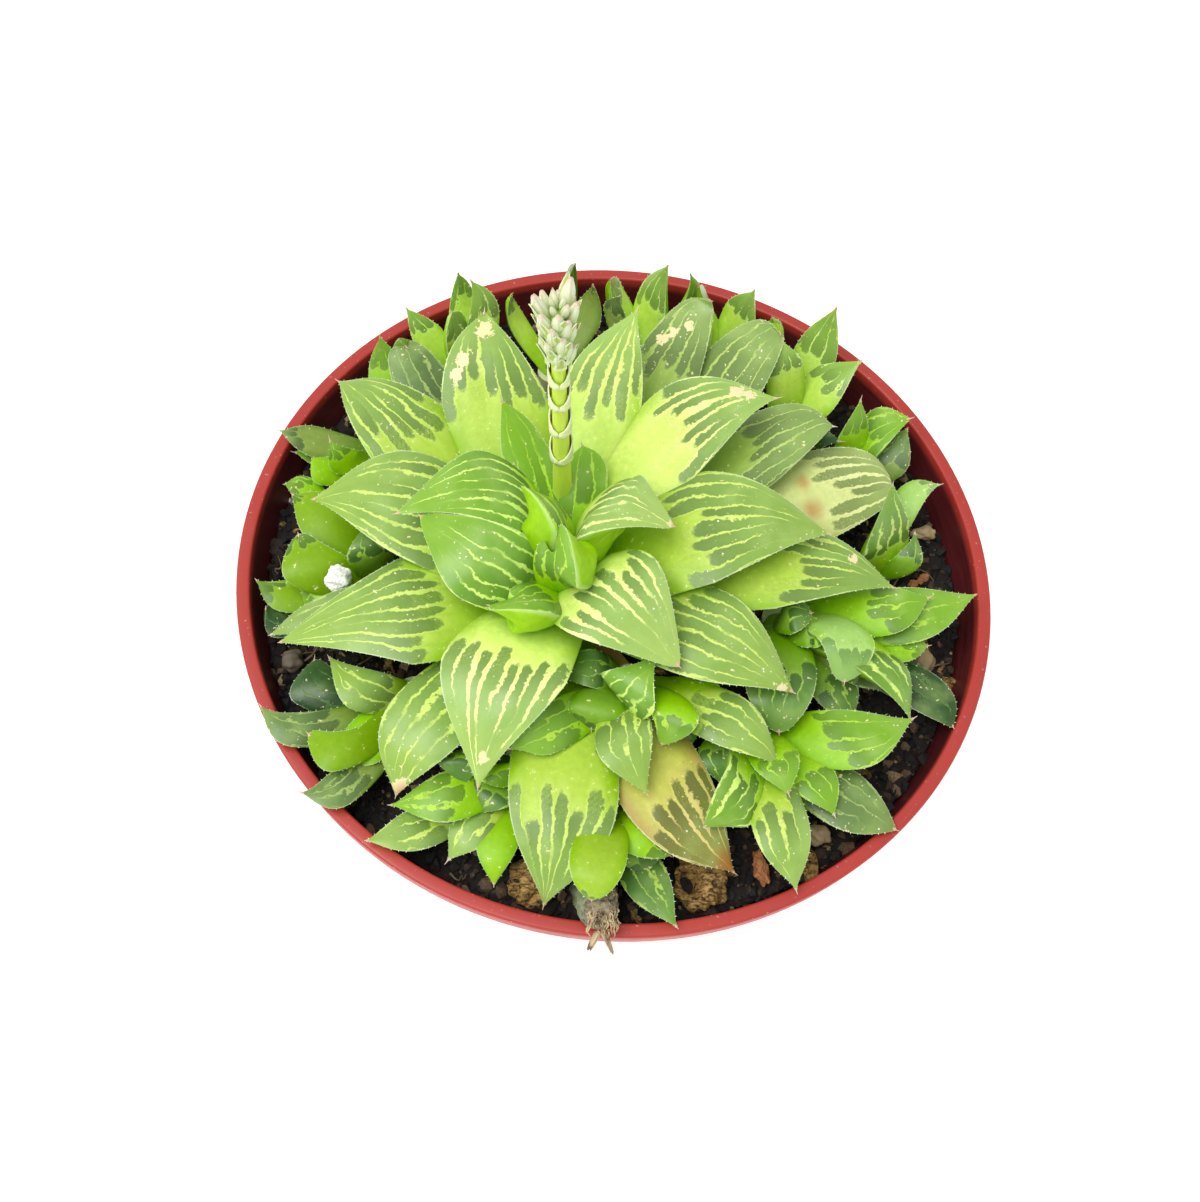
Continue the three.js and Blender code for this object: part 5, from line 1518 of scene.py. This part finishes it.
# The head's parts get a little larger up the stalk, and those of its very top are small.
head_chance = random.Random("head")
head_places, top_places = [], []
for number in range(HEAD_PARTS):
    share = number / HEAD_PARTS
    scale = (0.76 + 0.26 * share) * head_chance.uniform(0.88, 1.1)
    head_places.append((HEAD_FROM + (HEAD_TO - HEAD_FROM) * share, scale))
for number in range(TOP_PARTS):
    top_places.append((HEAD_END + 0.4 * number, 0.62 - 0.07 * number))
below_buds = [(height - HEAD_BRACT_DROP, scale) for height, scale in head_places]
up_the_stalk("stalk_bracts", bract_part("bract", **STALK_BRACT), BRACTS, BRACTS_OPEN, bract_finish,
             BRACT_TURN)
up_the_stalk("head_buds", bud_part("bud", **BUD), head_places + top_places, 0.0, bud_finish)
up_the_stalk("head_bracts", bract_part("small_bract", **HEAD_BRACT), below_buds, HEAD_BRACT_TURN,
             bract_finish)

# %% [markdown]
# ## Loose pieces
#
# Bits of bark, two pebbles, and a grain of perlite lie about. Each starts as a ball of triangles with broad
# bumps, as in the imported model, and gets finer relief of its own. At the front, the fibrous remains of a dead
# offset lean over the rim and end in two prongs.

# %% A lump
def lump(name, centre, size, turn, finish, slot, relief, node=None, detail=5, ripple=1.4, hollow=None):
    """A rough lump: broad bumps by formula, then noise of the given height in millimetres.

    A hollow is its place on the top and its radius, as shares of the half size, and its depth in millimetres.
    """
    mesh = bpy.data.meshes.new(name)
    ball = bmesh.new()
    bmesh.ops.create_icosphere(ball, subdivisions=detail, radius=1)
    ball.to_mesh(mesh)
    ball.free()
    spin = Matrix.Rotation(turn, 3, "Z")
    for vertex in mesh.vertices:
        way = vertex.co.copy()
        bump = 1 + 0.14 * math.sin(5 * way.x + 3 * way.y + turn) * math.cos(4 * way.z + 2 * turn)
        point = Vector([way[axis] * size[axis] / 2 * bump for axis in range(3)])
        rough = noise.noise(point * 0.55 + Vector((turn * 9, 0, 0))) + 0.5 * noise.noise(point * ripple)
        point += way * (rough * relief)
        if hollow and way.z > 0:
            at_x, at_y, reach, depth = hollow
            apart = math.hypot(way.x - at_x, way.y - at_y) / reach
            point.z -= depth * math.exp(-apart * apart) * way.z
        vertex.co = (spin @ point + Vector(centre)) * MM
    mesh.materials.append(finish)
    mesh.shade_smooth()
    piece = bpy.data.objects.new(name, mesh)
    scene.collection.objects.link(piece)
    deliver(piece, slot, *([node] if node else []))

# %% Stones and bark
GRAVEL_HEIGHT = 81
GRAVEL_RELIEF = 0.5

# Gravel is dull, grainy and sandy. A darker grey brown copy of it is painted shade, for the stones that lie in
# shadow. The inner side of bark is orange.
stone_finish = mottled_material("weathered gravel", 3.8, 5, "#7C6848", "#D9C290", 0.7, (0.4, 0.3))
shaded_stone_finish = mottled_material("gravel in painted shade", 3.8, 5, "#3C342C", "#8A7C68", 0.75, (0.4, 0.3))
chip_finish = mottled_material("orange inner bark", 5, 4, "#2E2018", "#DD9254", 0.7, (0.6, 0.4))

lump("curled_bark_chunk", (23, -60, 81), (9, 10.5, 8), 0.4, bark_finish, "bark", 0.8, "bark_chunk",
     hollow=(-0.62, 0.1, 0.5, 9.5))
lump("flat_bark_piece", (-8, -64.3, 80.5), (9, 8.5, 7), 2.1, bark_finish, "bark", 0.7, "bark_piece")
lump("orange_bark_chip", (34, -55.6, 80.6), (2.6, 6.6, 3.2), 0.4, chip_finish, "bark", 0.8, "bark_chip",
     ripple=2.6)
# The left pebble lies in shadow, so it gets the darker copy as painted shade.
lump("left_pebble", (-60.7, -26.8, 80.2), (4.6, 4.2, 4), 1.2, shaded_stone_finish, "stone", 0.3, "pebble_left",
     detail=4)
lump("right_pebble", (63.1, -7.8, 80.2), (5.5, 5.5, 4.6), 2.6, stone_finish, "stone", 0.3, "pebble_right",
     detail=4)
lump("white_perlite_grain", seen(-52.2, -16.7, 96), (4.8, 4.4, 4), 0.9, perlite_finish, "perlite", 0.45,
     "perlite_grain", ripple=2.2)
# Smaller bits that are only in this scene, each where it is seen on the soil.
for name, x, y, size, turn, finish, slot in [
    ("pale_pebble", 41.3, -54, (4.6, 3.8, 3.2), 0.3, stone_finish, "stone"),
    ("small_pebble", -44.5, -42.5, (3.8, 3.2, 3.0), 1.1, stone_finish, "stone"),
    ("pale_gravel", 60.3, -22.4, (3.4, 2.8, 2.6), 2.0, stone_finish, "stone"),
    ("brown_gravel", 63.2, -25.6, (2.8, 2.6, 2.4), 0.7, bark_finish, "bark"),
    # This crumb lies in shadow, so it gets the darker copy as painted shade.
    ("bark_crust", 52.3, 24.6, (4.5, 3.6, 3.2), 0.5, shaded_stone_finish, "stone"),
    ("tan_bark_bit", 58.5, 11.2, (5.0, 2.8, 2.4), 0.2, stone_finish, "bark"),
    ("fibrous_chip", 40.2, -60, (2.8, 6.5, 2.6), 0.2, bark_finish, "bark"),
    ("orange_crumb_1", 56.3, 4.3, (2.0, 1.7, 1.6), 0.2, chip_finish, "bark"),
    ("orange_crumb_2", 58.6, 0.9, (2.6, 1.8, 1.6), 0.9, chip_finish, "bark"),
    ("orange_crumb_3", 56.8, -0.6, (1.8, 2.2, 1.6), 1.9, chip_finish, "bark"),
]:
    lump(name, seen(x, y, GRAVEL_HEIGHT), size, turn, finish, slot, GRAVEL_RELIEF, detail=4, ripple=2.6)

# %% Roots and twigs on the soil
ROOTS = 46
ROOT_POINTS = 5
ROOT_RING = (50, 69)
ROOT_LIMIT = 69.5
ROOT_LIFT = 0.9
ROOT_ARCH = 0.7

root_chance = random.Random("roots")
root_lines = []
for number in range(ROOTS):
    turn = root_chance.uniform(0, 2 * math.pi)
    radius = root_chance.uniform(*ROOT_RING)
    x, y = radius * math.cos(turn), radius * math.sin(turn)
    heading = root_chance.uniform(0, 2 * math.pi)
    line = []
    for step in range(ROOT_POINTS):
        arch = ROOT_ARCH * math.sin(math.pi * step / (ROOT_POINTS - 1))
        line.append((x, y, soil_top(x, y) + ROOT_LIFT + arch))
        reach = root_chance.uniform(0.9, 2.2)
        heading += root_chance.uniform(-0.5, 0.5)
        next_x, next_y = x + reach * math.cos(heading), y + reach * math.sin(heading)
        # A root that would reach the pot's wall turns inwards.
        x, y = (next_x, next_y) if math.hypot(next_x, next_y) < ROOT_LIMIT else (x * 0.98, y * 0.98)
    root_lines.append(line)
# Dry roots are brown, dull, and darker in patches.
root_finish = mottled_material("dry root and twig", 7, 3, "#3A2A1E", "#A08560", 0.8)
root_girth = [root_chance.uniform(0.5, 1.5) for line in root_lines for point in line]
roots = grow("dry_roots", guide_lines(root_lines, girth=root_girth), fibre_tree, {
    "Thickness": 0.4 * MM, "Tip share": 0.4, "Finish": root_finish})
deliver(roots, "dry_fibre")

# %% The dry stump
# A path of x, y, z and radius, which comes up out of the soil and leans over the rim.
STUMP_PATH = [(3, -59.5, 68, 3.8), (3.4, -64.5, 82, 4.2), (4.2, -69.8, 91, 3.6), (5.2, -74.2, 91.8, 2.8)]
STUMP_RINGS = 40
STUMP_SIDES = 36
STUMP_RIDGES = 0.07


def tube_points(path, rings, sides, rough):
    """Rings of points along a bent path of x, y, z and radius."""
    points = []
    for ring in range(rings + 1):
        share = ring / rings * (len(path) - 1)
        part = min(int(share), len(path) - 2)
        here, there = np.array(path[part]), np.array(path[part + 1])
        x, y, z, radius = here + (there - here) * (share - part)
        tangent = Vector(there[:3] - here[:3]).normalized()
        across = (Vector((1, 0, 0)) - tangent * tangent.x).normalized()
        beside = tangent.cross(across)
        closing = math.sqrt(max(0.05, 1 - max(0, (ring / rings - 0.82) / 0.18) ** 2))
        for side in range(sides):
            turn = 2 * math.pi * side / sides
            worn = noise.noise(Vector((turn * 3, ring * 0.5, radius)))
            spoke = radius * (1 + rough * math.sin(9 * turn + ring * 0.3) + rough * worn) * closing
            off_axis = across * (spoke * math.cos(turn)) + beside * (spoke * math.sin(turn))
            points.append(Vector((x, y, z)) + off_axis)
    return points


stump_finish, tree = start_material("dried leaf base, fibrous")
place = add(tree, COORDINATES, out="Object")
# The flesh has shrunk away from its fibres, so it is dull and rough, bleached on top and dark between them.
# Its left side still has some green.
beside = add(tree, "ShaderNodeSeparateXYZ", {0: place}, out="X")
fibres = add(tree, NOISE, {"Vector": place, "Scale": 8 * IN_A_CM, "Detail": 5, "Roughness": 0.7})
husk = fill_ramp(add(tree, "ShaderNodeValToRGB", {"Fac": fibres}, out=None), [
    (0.38, "#2B231B"), (0.64, "#B8A888")])
green_share = add(tree, RANGE, {0: beside, 1: 2.8 * MM, 2: 1.4 * MM, 3: 0.0, 4: 0.8})
husky = add(tree, MIX, {0: green_share, 6: husk, 7: "#7F8E6A"}, **BLEND)
end_material(tree, {"Base Color": husky, "Roughness": 0.85,
                    "Normal": add(tree, BUMP, {"Strength": 0.8, "Distance": 0.5 * MM, "Height": fibres})})

points = tube_points(STUMP_PATH, STUMP_RINGS, STUMP_SIDES, STUMP_RIDGES)
stump = new_piece("dry_stump_husk", points, tube_faces(STUMP_RINGS, STUMP_SIDES), stump_finish)
deliver(stump, "dry_fibre", "dry_stump")

# %% Prongs and loose fibres
PRONG_ENDS = [(3.8, -78, 91), (8, -78, 91)]
PRONG_FROM = (5.4, -75, 91.8)
PRONG_PARTING = 0.25
PRONG_STRANDS = 5
PRONG_GIRTHS = [2.2, 1.9, 1.3]
FRAY_STRANDS = 150
FRAY_GIRTHS = [1.3, 1.0, 0.8]
FRAY_FRONT = -78.4
FRAY_TOP = 96.5

# Bleached fibres are straw coloured, with dark patches where they are still damp.
fibre_finish, tree = start_material("bleached leaf fibre")
place = add(tree, COORDINATES, out="Object")
mottled = add(tree, NOISE, {"Vector": place, "Scale": 5 * IN_A_CM, "Detail": 3})
straw = fill_ramp(add(tree, "ShaderNodeValToRGB", {"Fac": mottled}, out=None), [
    (0.36, "#4A3622"), (0.58, "#D2BC92")])
end_material(tree, {"Base Color": straw, "Roughness": 0.8})

fray_chance = random.Random("fray")
fray, fray_girth = [], []
# A prong is a bundle of thicker strands that part from the husk's end.
for prong in PRONG_ENDS:
    middle, front, level = PRONG_FROM
    start = Vector((middle + PRONG_PARTING * (prong[0] - middle), front, level))
    end = Vector(prong)
    for strand in range(PRONG_STRANDS):
        wide = Vector([fray_chance.uniform(-0.4, 0.4) for axis in range(3)])
        fray.append([start + wide, start.lerp(end, 0.6) + wide * 1.2 + Vector((0, 0, 0.6)), end + wide * 0.9])
        fray_girth += PRONG_GIRTHS
# The thin fibres start all over the husk's back, which runs forwards and falls off to both sides.
for strand in range(FRAY_STRANDS):
    share = fray_chance.uniform(0, 1)
    across = fray_chance.uniform(-0.8, 1)
    low = Vector((4.1 + 1.2 * share + 3.2 * across, -67 - 8 * share,
                  93.3 + 0.9 * share - 2.2 * across * across))
    reach = fray_chance.uniform(1.0, 2.8)
    high = low + Vector((fray_chance.uniform(-0.8, 0.8), -reach * 0.7, fray_chance.uniform(-0.2, 0.9)))
    fray.append([low, low.lerp(high, 0.5) + Vector((fray_chance.uniform(-0.5, 0.5), 0, 0.4)), high])
    fray_girth += FRAY_GIRTHS
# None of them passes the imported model's box.
fray = [[Vector((point.x, max(point.y, FRAY_FRONT), min(point.z, FRAY_TOP))) for point in line]
        for line in fray]
fibres = grow("dry_stump_fibres", guide_lines(fray, girth=fray_girth), fibre_tree, {
    "Thickness": 0.36 * MM, "Tip share": 0.5, "Finish": fibre_finish})
deliver(fibres, "dry_fibre")

# %% [markdown]
# ## Size
#
# Both boxes are printed, so that the dressed plant can be compared with the imported one. The dressed plant
# may not outgrow the imported one.

# %% Print the sizes
dressed_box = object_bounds()
sizes = {"packed": [list(corner) for corner in packed_box],
         "dressed": [list(corner) for corner in dressed_box]}
for key, (low, high) in sizes.items():
    print(key, "box in mm:", [round((b - a) / MM, 1) for a, b in zip(low, high)])
